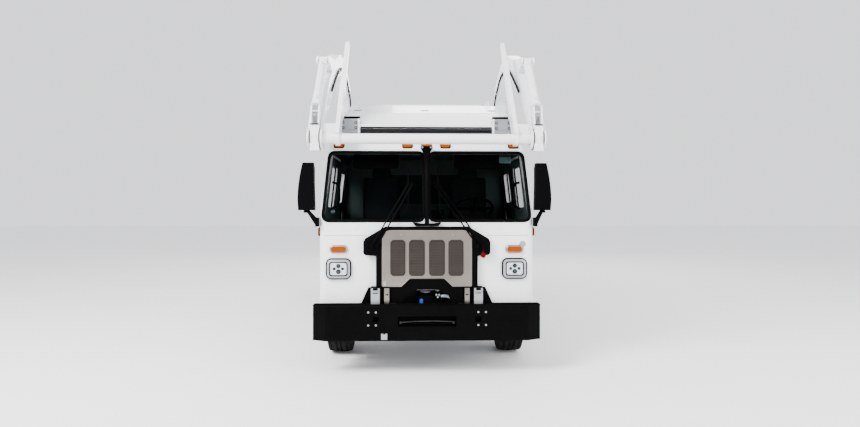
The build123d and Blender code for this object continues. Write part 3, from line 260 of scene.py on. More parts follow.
@dataclass(frozen=True)
class Finish:
    """A painted, plated, moulded or cast finish with grime, tone change and fine texture."""

    name: str
    colour: Colour
    roughness: float = 0.4
    metallic: float = 0.0
    coat: float = 0.0
    tone: float = 0.06  # how far the colour drifts, as a share
    grime: float = 0.2  # dust and streaks, at most
    grime_colour: Colour = (0.16, 0.14, 0.12)
    grain: float = 0.0002  # height of the fine texture in metres
    grain_scale: float = 220.0
    stretch: Point = (1, 1, 1)  # brushed metals stretch their grain
    specular: float = 0.5
    splash: float = 0.0  # road dirt towards the ground

    def build(self) -> bpy.types.Material:
        """Builds the material."""
        ink = Ink(self.name)
        broad = ink.noise(1.3, 4.0)
        fine = ink.noise(self.grain_scale, 2.0, self.stretch)
        streaks = ink.noise(6.0, 5.0, (2.2, 2.2, 0.25))
        darker = tuple(c * (1 - 2 * self.tone) for c in self.colour)
        colour = ink.mix(broad.ramp(0.3, 0.75), rgba(self.colour), rgba(darker))
        dirt = streaks.ramp(0.52, 0.8) * broad.ramp(0.35, 0.7) * self.grime
        if self.splash:
            low = 1 - ink.axis("Z").ramp(0.35, 1.5)
            dirt = dirt.math("MAXIMUM", low * ink.noise(9.0, 6.0).ramp(0.25, 0.75) * self.splash)
        colour = ink.mix(dirt, colour, rgba(self.grime_colour))
        roughness = (fine - 0.5) * 0.12 + self.roughness + dirt * 0.35
        inputs = {
            "Base Color": colour,
            "Roughness": roughness.math("MINIMUM", 1.0),
            "Metallic": self.metallic,
            "Coat Weight": self.coat,
            "Coat Roughness": 0.08,
            "Specular IOR Level": self.specular,
            "Normal": ink.bump(fine, self.grain),
        }
        return ink.finish(ink.node("ShaderNodeBsdfPrincipled", None, inputs))


@dataclass(frozen=True)
class GlassFinish:
    """Clean dark glass that reflects nothing; its tint and reflected haze are painted as a teal colour into
    the cab's linings and seats.
    """

    name: str
    clear: float  # share of light that passes

    def build(self) -> bpy.types.Material:
        """Builds the material."""
        ink = Ink(self.name)
        inputs = {
            "Base Color": rgba((0.0, 0.0, 0.0)),
            "Roughness": 0.03,
            "Alpha": 1 - self.clear,
            "Specular IOR Level": 0.0,
        }
        material = ink.finish(ink.node("ShaderNodeBsdfPrincipled", None, inputs))
        material.surface_render_method = "BLENDED"
        return material


@dataclass(frozen=True)
class LensFinish:
    """A coloured lamp lens with moulded ribs."""

    name: str
    colour: Colour
    glow: float
    ribs: float = 60.0  # scale of the ribs

    def build(self) -> bpy.types.Material:
        """Builds the material."""
        ink = Ink(self.name)
        inputs = {"Vector": ink.place(), "Scale": self.ribs}
        ribs = ink.node("ShaderNodeTexWave", {"bands_direction": "X"}, inputs, 1)
        deep = tuple(c * 0.55 for c in self.colour)
        inputs = {
            "Base Color": ink.mix(ribs, rgba(self.colour), rgba(deep)),
            "Roughness": 0.3,
            "Specular IOR Level": 0.02,
            "Emission Color": rgba(self.colour),
            "Emission Strength": self.glow,
            "Normal": ink.bump(ribs, 0.0008),
        }
        return ink.finish(ink.node("ShaderNodeBsdfPrincipled", None, inputs))


@dataclass(frozen=True)
class Perforated:
    """Sheet with staggered round holes, clear through where a hole is."""

    name: str
    colour: Colour
    pitch: float  # between holes, in metres
    hole: float  # their radius
    metallic: float

    def _row(self, ink: Ink, shift: float) -> Socket:
        """Squared distance to the nearest hole of one of the two sets of rows."""
        tall = self.pitch * math.sqrt(3)
        x = (ink.axis("X") * (1 / self.pitch) + shift).math("FRACT") - 0.5
        z = (ink.axis("Z") * (1 / tall) + shift).math("FRACT") - 0.5
        return x * x * self.pitch ** 2 + z * z * tall ** 2

    def build(self) -> bpy.types.Material:
        """Builds the material."""
        ink = Ink(self.name)
        near = self._row(ink, 0.0).math("MINIMUM", self._row(ink, 0.5))
        worn = tuple(0.88 * c for c in self.colour)
        inputs = {
            "Base Color": ink.mix(ink.noise(14.0).ramp(0.4, 0.7), rgba(self.colour), rgba(worn)),
            "Roughness": 0.38,
            "Metallic": self.metallic,
            "Alpha": near.math("GREATER_THAN", self.hole ** 2),
        }
        return ink.finish(ink.node("ShaderNodeBsdfPrincipled", None, inputs))


class Look(Enum):
    """Every finish on the truck, each with the material slot that it belongs to."""

    CAB_PAINT = (
        "paint",
        Finish("cab_paint", (0.83, 0.84, 0.85), 0.24, coat=0.5, tone=0.01, grime=0.04, splash=0.10),
    )
    BODY_PAINT = (
        "body_paint",
        Finish("body_paint", (0.78, 0.79, 0.80), 0.32, coat=0.3, tone=0.015, grime=0.09, splash=0.14),
    )
    SEAM = ("paint", Finish("seam_shadow", (0.16, 0.165, 0.17), 0.6))
    SILVER = (
        "lamp",
        Finish("silver_moulding", (0.30, 0.315, 0.325), 0.34, metallic=0.4, tone=0.05, grime=0.1),
    )
    BLACK_PAINT = (
        "black_steel",
        Finish("satin_black", (0.0010, 0.0010, 0.0012), 0.5, tone=0.2, grime=0.006, splash=0.004,
               specular=0.025),
    )
    CHASSIS = (
        "chassis_black",
        Finish("chassis_black", (0.003, 0.003, 0.0034), 0.55, tone=0.25, grime=0.05, splash=0.07,
               specular=0.08),
    )
    STAINLESS = (
        "bright_grille",
        Finish("brushed_stainless", (0.262, 0.226, 0.198), 0.36, metallic=1.0, tone=0.14, grime=0.16,
               grain=0.00005, grain_scale=90.0, stretch=(0.6, 1, 14)),
    )
    MESH = ("bright_grille", Perforated("perforated_stainless", (0.078, 0.064, 0.056), 0.0195, 0.0070, 0.9))
    MESH_BLACK = ("black_steel", Perforated("perforated_black", (0.010, 0.011, 0.011), 0.0120, 0.0042, 0.0))
    ZINC = ("zinc", Finish("galvanised", (0.34, 0.36, 0.37), 0.40, metallic=0.8, tone=0.12, grain_scale=40.0))
    CHROME = (
        "chrome",
        Finish("hard_chrome", (0.62, 0.63, 0.64), 0.08, metallic=1.0, tone=0.02, grime=0.05, grain=0.00002),
    )
    PLASTIC = (
        "black_plastic",
        Finish("black_plastic", (0.0010, 0.0010, 0.0013), 0.5, tone=0.2, grime=0.005, specular=0.025),
    )
    RUBBER = (
        "black_plastic",
        Finish("black_rubber", (0.0014, 0.0014, 0.0014), 0.7, tone=0.2, grime=0.01, specular=0.03),
    )
    GRIP = (
        "black_plastic",
        Finish("grip_rubber", (0.003, 0.003, 0.003), 0.95, tone=0.2, grime=0.01, specular=0.0),
    )
    FILM = (
        "black_plastic",
        Finish("label_film", (0.042, 0.075, 0.075), 0.5, tone=0.02, grime=0.0, grain=0.0, specular=0.1),
    )
    RED_PLASTIC = (
        "black_plastic", Finish("red_plastic", (0.085, 0.001, 0.002), 0.5, grime=0.0, specular=0.05),
    )
    BLUE_PLASTIC = (
        "black_plastic", Finish("blue_plastic", (0.003, 0.06, 0.32), 0.4, grime=0.0, specular=0.2),
    )
    GREY_HOSE = ("black_plastic", Finish("grey_hose", (0.26, 0.285, 0.32), 0.4, grime=0.1))
    TYRE = (
        "tyre",
        Finish("tyre_rubber", (0.004, 0.004, 0.004), 0.85, tone=0.3, grime=0.08, splash=0.06, grain=0.0004,
               specular=0.10),
    )
    CAST = (
        "cast",
        Finish("cast_iron", (0.012, 0.0118, 0.0115), 0.7, metallic=0.3, tone=0.3, grime=0.15, splash=0.15,
               specular=0.2),
    )
    # seat fabric with a teal tint that is partly the windows' own tint and partly their reflection haze,
    # painted on
    FABRIC_AND_GLASS_HAZE = (
        "fabric",
        Finish("seat_fabric_glass_haze", (0.0120, 0.0170, 0.0170), 0.95, tone=0.2, grain=0.0001, specular=0.0),
    )
    # cab lining, also on the jambs, trim, guard and headlamp bulbs: a teal tint that is partly the windows'
    # own tint and partly their reflection haze, painted on
    LINING_AND_GLASS_HAZE = (
        "black_plastic",
        Finish("cab_lining_glass_haze", (0.0400, 0.0620, 0.0580), 0.95, tone=0.1, grime=0.0, grain=0.0, specular=0.0),
    )
    GLASS = ("glass", GlassFinish("tinted_glass", clear=0.82))
    AMBER = ("amber", LensFinish("amber_lens", (0.30, 0.052, 0.0), 0.08))
    RED = ("red_lens", LensFinish("red_lens", (0.17, 0.002, 0.001), 0.06))
    LAMP = ("lamp", GlassFinish("lamp_lens", clear=0.97))
    BOWL = ("lamp", Finish("lamp_bowl", (0.62, 0.64, 0.66), 0.4, tone=0.01, grime=0.0, grain=0.0))

    def slot(self) -> str:
        """The material slot that the finish belongs to."""
        return self.value[0]

    def material(self) -> bpy.types.Material:
        """The finish's material, built when first asked for."""
        if self.name not in _MATERIALS:
            _MATERIALS[self.name] = self.value[1].build()
        return _MATERIALS[self.name]


_MATERIALS: dict[str, bpy.types.Material] = {}  # those built so far, by the Look's name


# ---------------------------------------------------------------- the solids' finishes
NODE_LOOKS: tuple[tuple[str, Look], ...] = (
    # the start of a node's name, its finish
    ("cab_shell", Look.CAB_PAINT),
    ("door_glass", Look.GLASS),
    ("door_", Look.CAB_PAINT),
    ("cab_glass", Look.GLASS),
    ("grille_surround", Look.PLASTIC),
    ("grille_panel", Look.STAINLESS),
    ("front_bumper", Look.BLACK_PAINT),
    ("front_supports", Look.BLACK_PAINT),
    ("front_steps", Look.CHASSIS),
    ("service_unit", Look.PLASTIC),
    ("side_tanks", Look.CHASSIS),
    ("rear_fenders", Look.CHASSIS),
    ("headlamps", Look.PLASTIC),
    ("turn_lamps", Look.AMBER),
    ("tail_lamps", Look.RED),
    ("mirrors", Look.PLASTIC),
    ("wipers", Look.PLASTIC),
    ("dashboard", Look.PLASTIC),
    ("seats", Look.FABRIC_AND_GLASS_HAZE),
    ("canopy_brackets", Look.ZINC),
    ("chassis_frame", Look.CHASSIS),
    ("cab_mounts", Look.CHASSIS),
    ("body_sills", Look.CHASSIS),
    ("rear_axles", Look.CAST),
    ("front_axle", Look.CAST),
    ("engine", Look.CAST),
    ("knuckle", Look.CAST),
    ("front_tyre", Look.TYRE),
    ("middle_tyres", Look.TYRE),
    ("rear_tyres", Look.TYRE),
    ("lift_rods", Look.CHROME),
    ("fork_rods", Look.CHROME),
    ("tailgate_rods", Look.CHROME),
)


SOLID_SHARP_ANGLE = 32  # degrees from which a solid's edge shows sharp


def dress_solids() -> None:
    """Gives each solid its finish: the first row that its name starts with, or body paint."""
    for name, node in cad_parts.items():
        look = next((look for start, look in NODE_LOOKS if name.startswith(start)), Look.BODY_PAINT)
        node.data.materials.clear()
        node.data.materials.append(look.material())
        node.data.set_sharp_from_angle(angle=math.radians(SOLID_SHARP_ANGLE))


# ---------------------------------------------------------------- mesh building
UP: Point = (0.0, 0.0, 1.0)


def plane_at(origin: Point, across: Point = (1, 0, 0), out: Point = (0, -1, 0)) -> Matrix:
    """A place to build on.

    Args:
        origin: the plane's origin.
        across: its X direction.
        out: its Z direction, away from the truck.

    Returns:
        The matrix that takes the plane's own coordinates to the truck's.
    """
    x, z = Vector(across).normalized(), Vector(out).normalized()
    matrix = Matrix((x, z.cross(x), z)).transposed().to_4x4()
    return Matrix.Translation(Vector(origin)) @ matrix


def rounded(points: Sequence[Pair], radius: float | Sequence[float], steps: int = 5) -> list[Pair]:
    """Rounds every corner of an outline.

    Args:
        points: the corners in order.
        radius: of every corner, or one for each.
        steps: pieces in each corner.

    Returns:
        The rounded outline.
    """
    outline = []
    for i, point in enumerate(points):
        corner = Vector(point)
        ends = [Vector(points[i - 1]) - corner, Vector(points[(i + 1) % len(points)]) - corner]
        half = ends[0].angle(ends[1]) / 2
        size = radius if isinstance(radius, float) else radius[i]
        reach = min(size / math.tan(half), 0.49 * min(e.length for e in ends))
        start, end = (corner + e.normalized() * reach for e in ends)
        for step in range(steps + 1):
            t = step / steps
            place = start * (1 - t) ** 2 + corner * 2 * t * (1 - t) + end * t ** 2
            outline.append((place.x, place.y))
    return outline


def rectangle(width: float, height: float, radius: float = 0.0, centre: Pair = (0, 0)) -> list[Pair]:
    """A rectangle's outline.

    Args:
        width: along X.
        height: along Y.
        radius: of its corners, which stay sharp at 0.
        centre: its middle.

    Returns:
        The outline.
    """
    x, y = centre
    w, h = width / 2, height / 2
    corners = [(x - w, y - h), (x + w, y - h), (x + w, y + h), (x - w, y + h)]
    return rounded(corners, radius) if radius else corners


def circle(radius: float, sides: int = 24, centre: Pair = (0, 0)) -> list[Pair]:
    """A circle's outline.

    Args:
        radius: of the circle.
        sides: how many points it has.
        centre: its middle.

    Returns:
        The outline.
    """
    angles = [2 * math.pi * i / sides for i in range(sides)]
    return [(centre[0] + radius * math.cos(a), centre[1] + radius * math.sin(a)) for a in angles]


class Shape:
    """Gathers the faces of one piece, in metres of the truck's frame."""

    soften_angle = 0.4  # radians between faces from which an edge is softened

    def __init__(self) -> None:
        """Starts with nothing."""
        self.mesh = bmesh.new()

    def _soften(self, corners: Iterable[bmesh.types.BMVert], edge: float) -> None:
        """Bevels the sharp edges between some corners."""
        edges = {e for v in corners for e in v.link_edges if e.calc_face_angle(0) > self.soften_angle}
        bmesh.ops.bevel(self.mesh, geom=list(edges), offset=edge, segments=2, profile=0.6, affect="EDGES")

    def block(self, low: Point, high: Point, edge: float = 0.0, base: Matrix = Matrix()) -> "Shape":
        """A box.

        Args:
            low: its lowest corner.
            high: its highest corner.
            edge: width of its softened edges.
            base: the plane that the corners are in.

        Returns:
            The shape.
        """
        corners = bmesh.ops.create_cube(self.mesh, size=1.0)["verts"]
        size = Vector(high) - Vector(low)
        matrix = base @ Matrix.Translation((Vector(low) + Vector(high)) / 2) @ Matrix.Diagonal((*size, 1.0))
        bmesh.ops.transform(self.mesh, matrix=matrix, verts=corners)
        if edge:
            self._soften(corners, edge)
        return self

    def bar(
        self, a: Point, b: Point, radius: float, end: float | None = None, sides: int = 20,
        edge: float = 0.0, base: Matrix = Matrix(),
    ) -> "Shape":
        """A round bar or cone from a to b.

        Args:
            a: middle of its first face.
            b: middle of its last face.
            radius: at a.
            end: at b, where it isn't the same.
            sides: flat sides round it; 6 gives a hexagon head.
            edge: width of its softened edges.
            base: the plane that the points are in.

        Returns:
            The shape.
        """
        first, last = base @ Vector(a), base @ Vector(b)
        axis = last - first
        turn = axis.to_track_quat("Z", "Y").to_matrix().to_4x4()
        corners = bmesh.ops.create_cone(
            self.mesh, cap_ends=True, segments=sides, radius1=radius, radius2=radius if end is None else end,
            depth=axis.length, matrix=Matrix.Translation((first + last) / 2) @ turn,
        )["verts"]
        if edge:
            self._soften(corners, edge)
        return self

    def tube(
        self, points: Sequence[Point], radius: float, sides: int = 10, closed: bool = False,
        flat: float = 1.0, base: Matrix = Matrix(),
    ) -> "Shape":
        """A round or flattened section drawn along a path.

        Args:
            points: the path.
            radius: half the section's width.
            sides: of the section.
            closed: whether the path is a loop.
            flat: the section's height as a share of its width, along the base's Z when below 1.
            base: the plane that the points are in.

        Returns:
            The shape.
        """
        path = [base @ Vector(p) for p in points]
        count = len(path)
        normal = (base.to_3x3() @ Vector(UP)) if flat < 1 or closed else None
        rows = []
        for i, point in enumerate(path):
            before = path[i - 1] if i or closed else point
            after = path[(i + 1) % count] if i + 1 < count or closed else point
            along = (after - before).normalized()
            normal = normal or along.orthogonal()
            normal = (normal - along * normal.dot(along)).normalized()
            side = along.cross(normal)
            angles = [2 * math.pi * k / sides for k in range(sides)]
            rows.append([
                self.mesh.verts.new(point + (normal * math.sin(a) * flat + side * math.cos(a)) * radius)
                for a in angles
            ])
        self._join(rows, closed)
        if not closed:
            self.mesh.faces.new(rows[0][::-1])
            self.mesh.faces.new(rows[-1])
        return self

    def _join(self, rows: Sequence[Sequence[bmesh.types.BMVert]], closed: bool) -> None:
        """Faces between neighbouring rings of corners."""
        pairs = list(zip(rows, rows[1:])) + ([(rows[-1], rows[0])] if closed else [])
        for low, high in pairs:
            for k in range(len(low)):
                n = (k + 1) % len(low)
                self.mesh.faces.new((low[k], low[n], high[n], high[k]))

    def slab(self, side: int, xs: Pair, stations: Pair, zs: Pair, edge: float = 0.0) -> "Shape":
        """A box on one side of the truck.

        Args:
            side: 1 on the left, -1 on the right.
            xs: how far from the middle it starts and ends, in either order.
            stations: where it starts and ends along the truck.
            zs: its heights.
            edge: width of its softened edges.

        Returns:
            The shape.
        """
        low, high = sorted((side * xs[0], side * xs[1]))
        return self.block((low, st(stations[0]), zs[0]), (high, st(stations[1]), zs[1]), edge)

    def prism(
        self, outline: Sequence[Pair], base: Matrix, low: float, high: float, edge: float = 0.0,
    ) -> "Shape":
        """A flat outline pushed along its plane's Z.

        Args:
            outline: in the plane's X and Y, in either order.
            base: the plane.
            low: where it starts along Z.
            high: where it ends.
            edge: width of its softened edges.

        Returns:
            The shape.
        """
        rows = [[self.mesh.verts.new(base @ Vector((x, y, z))) for x, y in outline] for z in (low, high)]
        self._join(rows, False)
        self.mesh.faces.new(rows[0][::-1])
        self.mesh.faces.new(rows[1])
        if edge:
            self._soften(rows[0] + rows[1], edge)
        return self

    def sheet(
        self, outline: Sequence[Pair], holes: Sequence[Sequence[Pair]], base: Matrix, low: float, high: float,
    ) -> "Shape":
        """A flat plate with holes.

        Args:
            outline: its outer outline.
            holes: the outlines of its holes.
            base: the plane.
            low: where it starts along the plane's Z.
            high: where it ends.

        Returns:
            The shape.
        """
        edges = []
        for loop in (outline, *holes):
            ring = [self.mesh.verts.new(base @ Vector((x, y, low))) for x, y in loop]
            edges += [self.mesh.edges.new((ring[k - 1], ring[k])) for k in range(len(ring))]
        filled = bmesh.ops.triangle_fill(self.mesh, use_beauty=True, edges=edges)["geom"]
        faces = [item for item in filled if isinstance(item, bmesh.types.BMFace)]
        grown = bmesh.ops.extrude_face_region(self.mesh, geom=faces, use_keep_orig=True)["geom"]
        moved = [item for item in grown if isinstance(item, bmesh.types.BMVert)]
        bmesh.ops.translate(self.mesh, vec=base.to_3x3() @ Vector((0, 0, high - low)), verts=moved)
        return self

    def frame(
        self, outer: Sequence[Pair], inner: Sequence[Pair], base: Matrix, low: float, high: float,
        slope: float = 0.0,
    ) -> "Shape":
        """A plate with an opening, both outlines having as many points.

        Args:
            outer: its outer outline.
            inner: its opening.
            base: the plane.
            low: where it starts along the plane's Z.
            high: where it ends.
            slope: how much lower its outer edge ends.

        Returns:
            The shape.
        """
        rows = [
            [self.mesh.verts.new(base @ Vector((x, y, z))) for x, y in outline]
            for outline, z in ((outer, low), (outer, high - slope), (inner, high), (inner, low))
        ]
        self._join(rows, True)
        return self

    def turned(self, profile: Sequence[Pair], base: Matrix, sides: int = 24) -> "Shape":
        """A profile turned about the plane's Z and closed at its ends.

        Args:
            profile: its (radius, height) points.
            base: the plane.
            sides: flat sides round it.

        Returns:
            The shape.
        """
        rows = []
        for radius, height in profile:
            ring = circle(max(radius, 0.0004), sides)
            rows.append([self.mesh.verts.new(base @ Vector((x, y, height))) for x, y in ring])
        self._join(rows, False)
        self.mesh.faces.new(rows[0][::-1])
        self.mesh.faces.new(rows[-1])
        return self

    def bolt(self, place: Point, out: Point, size: float, washer: bool = True) -> "Shape":
        """A hexagon head with its washer.

        Args:
            place: on the face it holds.
            out: away from that face.
            size: half the head's width.
            washer: whether there is one.

        Returns:
            The shape.
        """
        start, way = Vector(place), Vector(out).normalized()
        if washer:
            self.bar(start, start + way * size * 0.25, size * 1.45, sides=18)
        return self.bar(start, start + way * size * 0.95, size, size * 0.92, sides=6)

    def both_sides(self) -> "Shape":
        """Adds the mirror image across the truck's middle."""
        everything = self.mesh.verts[:] + self.mesh.edges[:] + self.mesh.faces[:]
        bmesh.ops.mirror(self.mesh, geom=everything, axis="X")
        return self

    def data(self, name: str, angle: float) -> bpy.types.Mesh:
        """Turns the gathered faces into a mesh.

        Args:
            name: of the mesh.
            angle: degrees from which an edge shows sharp.

        Returns:
            The mesh.
        """
        bmesh.ops.recalc_face_normals(self.mesh, faces=self.mesh.faces[:])
        mesh = bpy.data.meshes.new(name)
        self.mesh.to_mesh(mesh)
        self.mesh.free()
        mesh.shade_smooth()
        mesh.set_sharp_from_angle(angle=math.radians(angle))
        return mesh


@dataclass
class Fittings:
    """A sub-assembly's fittings, each riding on one of the truck's bodies."""

    body: str = "truck"

    def add(
        self, name: str, shape: Shape, look: "Look", body: str | None = None,
        stands_for: Sequence[str] = (), angle: float = 35.0,
    ) -> bpy.types.Object:
        """Makes an object of a shape.

        Args:
            name: of the piece.
            shape: its faces.
            look: its finish.
            body: what it rides on, where it isn't the sub-assembly's own.
            stands_for: the solids that it is shown in place of.
            angle: degrees from which an edge shows sharp.

        Returns:
            The object.
        """
        piece = bpy.data.objects.new(name, shape.data(name, angle))
        bpy.context.scene.collection.objects.link(piece)
        piece.data.materials.append(look.material())
        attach(piece, body or self.body)
        look.slot()
        if stands_for:
            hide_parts(*stands_for)
        LOG.info("%s: %d faces on %s", name, len(piece.data.polygons), body or self.body)
        return piece


# ---------------------------------------------------------------- the cab's front
@dataclass
class Windscreen(Fittings):
    """Seals and jambs of the two panes, the strut between them, wipers, visors, handles and labels."""

    foot_station: float = 0.18
    foot_height: float = 1.64
    top_station: float = 0.33
    top_height: float = 2.45
    low: float = 1.662
    high: float = 2.428
    inner: float = 0.032
    outer_low: float = 1.146
    outer_high: float = 1.084
    corner: float = 0.074
    seal: float = 0.0175
    strut_radius: float = 0.025
    strut_out: float = 0.040

    def base(self) -> Matrix:
        """The screen's plane, with its origin at the foot in the middle."""
        run, rise = self.top_station - self.foot_station, self.top_height - self.foot_height
        return plane_at((0, st(self.foot_station), self.foot_height), (1, 0, 0), (0, -rise, run))

    def up(self, height: float) -> float:
        """How far up the screen a height is.

        Args:
            height: above the ground.

        Returns:
            The distance from the screen's foot, along its slope.
        """
        run, rise = self.top_station - self.foot_station, self.top_height - self.foot_height
        return (height - self.foot_height) * math.hypot(run, rise) / rise

    def build(self) -> None:
        """Builds every piece."""
        base, low, high = self.base(), self.up(self.low), self.up(self.high)
        corners = [(self.inner, low), (self.outer_low, low), (self.outer_high, high), (self.inner, high)]
        loop = [(x, y, 0.002) for x, y in rounded(corners, self.corner, 8)]
        seals = Shape().tube(loop, self.seal, 12, closed=True, flat=0.75, base=base).both_sides()
        self.add("windscreen_seals", seals, Look.RUBBER)
        rims = []
        for inset in (0.0005, 0.006):
            edge = [(self.inner + inset, low + inset), (self.outer_low - inset, low + inset),
                    (self.outer_high - inset, high - inset), (self.inner + inset, high - inset)]
            rims.append(rounded(edge, self.corner - inset, 8))
        jambs = Shape().frame(rims[0], rims[1], base, -0.074, -0.012).both_sides()
        self.add("windscreen_jambs", jambs, Look.LINING_AND_GLASS_HAZE)
        self._strut(base, high)
        visors = Shape()
        for side in (-1, 1):
            hinge = plane_at((side * 0.57, st(0.395), 2.33), (1, 0, 0), (0, -1, 0.22))
            visors.prism(rectangle(0.52, 0.17, 0.04), hinge, 0, 0.018, 0.006)
            visors.bar((-0.2, 0.085, 0.009), (0.2, 0.085, 0.009), 0.012, base=hinge)
        self.add("sun_visors", visors, Look.PLASTIC)
        handles = Shape()
        for side in (-1, 1):
            x = side * 1.075
            path = [
                (x, st(0.46), 2.10), (x - side * 0.05, st(0.47), 2.085), (x - side * 0.075, st(0.50), 2.02),
                (x - side * 0.075, st(0.52), 1.90), (x - side * 0.055, st(0.50), 1.83), (x, st(0.47), 1.80),
            ]
            handles.tube(path, 0.014, 10)
        self.add("grab_handles", handles, Look.PLASTIC)
        labels = Shape().prism(rectangle(0.137, 0.072, 0.01, (0.892, self.up(2.357))), base, -0.055, -0.054)
        oval = [(0.024 * x - 1.040, 0.020 * y + self.up(1.775)) for x, y in circle(1.0)]
        labels.prism(oval, base, -0.055, -0.054)
        self.add("screen_labels", labels, Look.FILM)
        self._wipers(base)

    def _wipers(self, base: Matrix) -> None:
        """Two wipers: a pivot on the cowl, two arms with a hooked end, and an upright blade each."""
        arms = Shape()
        # side, pivot, blade's foot, blade's top
        for side, pivot, foot_x, top_x in ((-1, 0.598, 0.210, 0.205), (1, 0.606, 0.150, 0.117)):
            blade = (foot_x + top_x) / 2
            for shift, end in ((0.0, 0.0), (-0.058, -0.050)):
                top = base @ Vector((side * (blade + end), self.up(2.052), 0.044))
                foot = Vector((side * (pivot + shift), st(0.083), 1.390))
                lean = 0.34 * (pivot - blade + shift - end)
                knee = Vector((side * (pivot + shift - lean), st(0.093), 1.622))
                arms.tube([foot, knee, knee.lerp(top, 0.5) - Vector((0, 0.004, 0)), top], 0.0080, 8)
                back, front = foot + Vector((0, 0.028, 0)), foot - Vector((0, 0.012, 0))
                arms.bar(back, front, 0.026, 0.022, sides=24, edge=0.004)
            hook = [(side * blade, self.up(2.052)), (side * (blade - 0.020), self.up(2.074)),
                    (side * (blade - 0.042), self.up(2.072)), (side * (blade - 0.050), self.up(2.052)),
                    (side * (blade - 0.004), self.up(2.000))]
            arms.tube([(x, y, 0.044) for x, y in hook], 0.0068, 8, base=base)
            low, high = self.up(1.745), self.up(2.250)
            rubber = [(side * x, y) for x, y in (
                (foot_x - 0.007, low), (top_x - 0.007, high), (top_x + 0.007, high), (foot_x + 0.007, low),
            )]
            arms.prism(rubber, base, 0.022, 0.040, 0.003)
        self.add("wiper_arms", arms, Look.PLASTIC, stands_for=["wipers"])

    def _strut(self, base: Matrix, high: float) -> None:
        """The round strut, its foot on the grille surround and its two-eared plate above."""
        out, radius = self.strut_out, self.strut_radius
        top = high + 0.022
        foot = base.inverted() @ Vector((0, st(0.128), 1.612))
        strut = Shape()
        strut.bar((0, foot.y, foot.z + 0.012), (0, top, out), radius, sides=24, edge=0.003, base=base)
        wings = [(-0.157, 0.040), (-0.125, 0.004), (0.125, 0.004), (0.157, 0.040),
                 (0.146, 0.043), (0.060, 0.033), (-0.060, 0.033), (-0.146, 0.043)]
        strut.prism(wings, plane_at((0, st(0.172), 1.602)), 0.0, 0.058, 0.004)
        ears = [(-0.070, 0.055), (-0.060, 0.072), (0.060, 0.072), (0.070, 0.055),
                (0.030, -0.02), (-0.030, -0.02)]
        plate = base @ Matrix.Translation((0, high - 0.005, 0))
        strut.prism(rounded(ears, 0.012), plate, 0.012, 0.030, 0.003)
        strut.bar((0, top - 0.01, 0.01), (0, top - 0.01, out), radius * 0.9, base=base)
        self.add("windscreen_strut", strut, Look.BLACK_PAINT)
        bolts = Shape()
        for side in (-1, 1):
            place = base @ Vector((side * 0.048, high + 0.050, 0.030))
            bolts.bolt(place, base.to_3x3() @ Vector(UP), 0.008)
        self.add("strut_bolts", bolts, Look.ZINC)


@dataclass
class Grille(Fittings):
    """The grille's plate with its folds, screws and bare oval, and the mesh, apron and core behind."""

    face: float = 0.109  # station of the panel's front
    half: float = 0.490
    low: float = 0.950
    high: float = 1.558
    notch: float = 0.090
    window_low: float = 1.0600
    window_high: float = 1.4600
    windows: tuple[Pair, ...] = ((0.018, 0.200), (0.230, 0.402))
    chamfer: float = 0.028
    fins: int = 36

    def build(self) -> None:
        """Builds every piece."""
        base = plane_at((0, st(self.face), 0))
        sheet = Shape().prism(rectangle(0.86, 0.46, 0.01, (0, 1.255)), base, -0.016, -0.014)
        self.add("grille_mesh", sheet, Look.MESH)
        low, high, cut = self.window_low, self.window_high, self.chamfer
        windows = []
        for a, b in self.windows:
            for side in (-1, 1):
                corners = [(a + cut, low), (b - cut, low), (b, low + cut), (b, high - cut),
                           (b - cut, high), (a + cut, high), (a, high - cut), (a, low + cut)]
                windows.append([(side * x, z) for x, z in rounded(corners, 0.006, 2)])
        foot = self.low + self.notch
        outline = rounded(
            [(-self.half, self.low), (-0.284, self.low), (-0.190, foot), (0.190, foot), (0.284, self.low),
             (self.half, self.low), (self.half, self.high), (-self.half, self.high)],
            (0.015, 0.020, 0.030, 0.030, 0.020, 0.015, 0.105, 0.105), 10,
        )
        plate = Shape().sheet(outline, windows, base, -0.006, 0.0)
        self.add("grille_plate", plate, Look.STAINLESS, stands_for=["grille_panel"], angle=30)
        panel = Shape()
        for edges in windows:
            panel.tube([(x, y, 0.0) for x, y in edges], 0.004, 8, closed=True, flat=0.6, base=base)
        panel.tube([(x * 0.992, y, -0.003) for x, y in outline], 0.005, 8, closed=True, base=base)
        panel.prism([(0.085 * x, 0.031 * y + 1.507) for x, y in circle(1.0, 40)], base, 0.0, 0.006, 0.002)
        self.add("grille_folds", panel, Look.STAINLESS)
        screws = Shape()
        for side in (-1, 1):
            for x, z in ((0.280, 1.512), (0.458, 1.002)):
                screws.bar((side * x, z, 0.0), (side * x, z, 0.005), 0.008, 0.006, sides=16, base=base)
        screws.block((-0.475, 0.955, 0.0), (-0.445, 1.01, 0.012), 0.004, base)
        self.add("grille_screws", screws, Look.ZINC)
        apron = [
            (-0.398, 0.762), (-0.265, 0.762), (-0.235, 0.835), (-0.105, 0.915), (0.120, 0.915),
            (0.235, 0.850), (0.270, 0.762), (0.398, 0.762), (0.398, 1.060), (-0.398, 1.060),
        ]
        self.add("grille_apron", Shape().prism(apron, base, -0.022, -0.018), Look.BLACK_PAINT)
        core = Shape()
        for i in range(self.fins):
            z = 0.99 + i * 0.015
            core.block((-0.43, z, -0.062), (0.43, z + 0.004, -0.045), base=base)
        core.block((-0.44, 0.97, -0.070), (0.44, 1.54, -0.062), base=base)
        self.add("radiator_core", core, Look.CHASSIS)


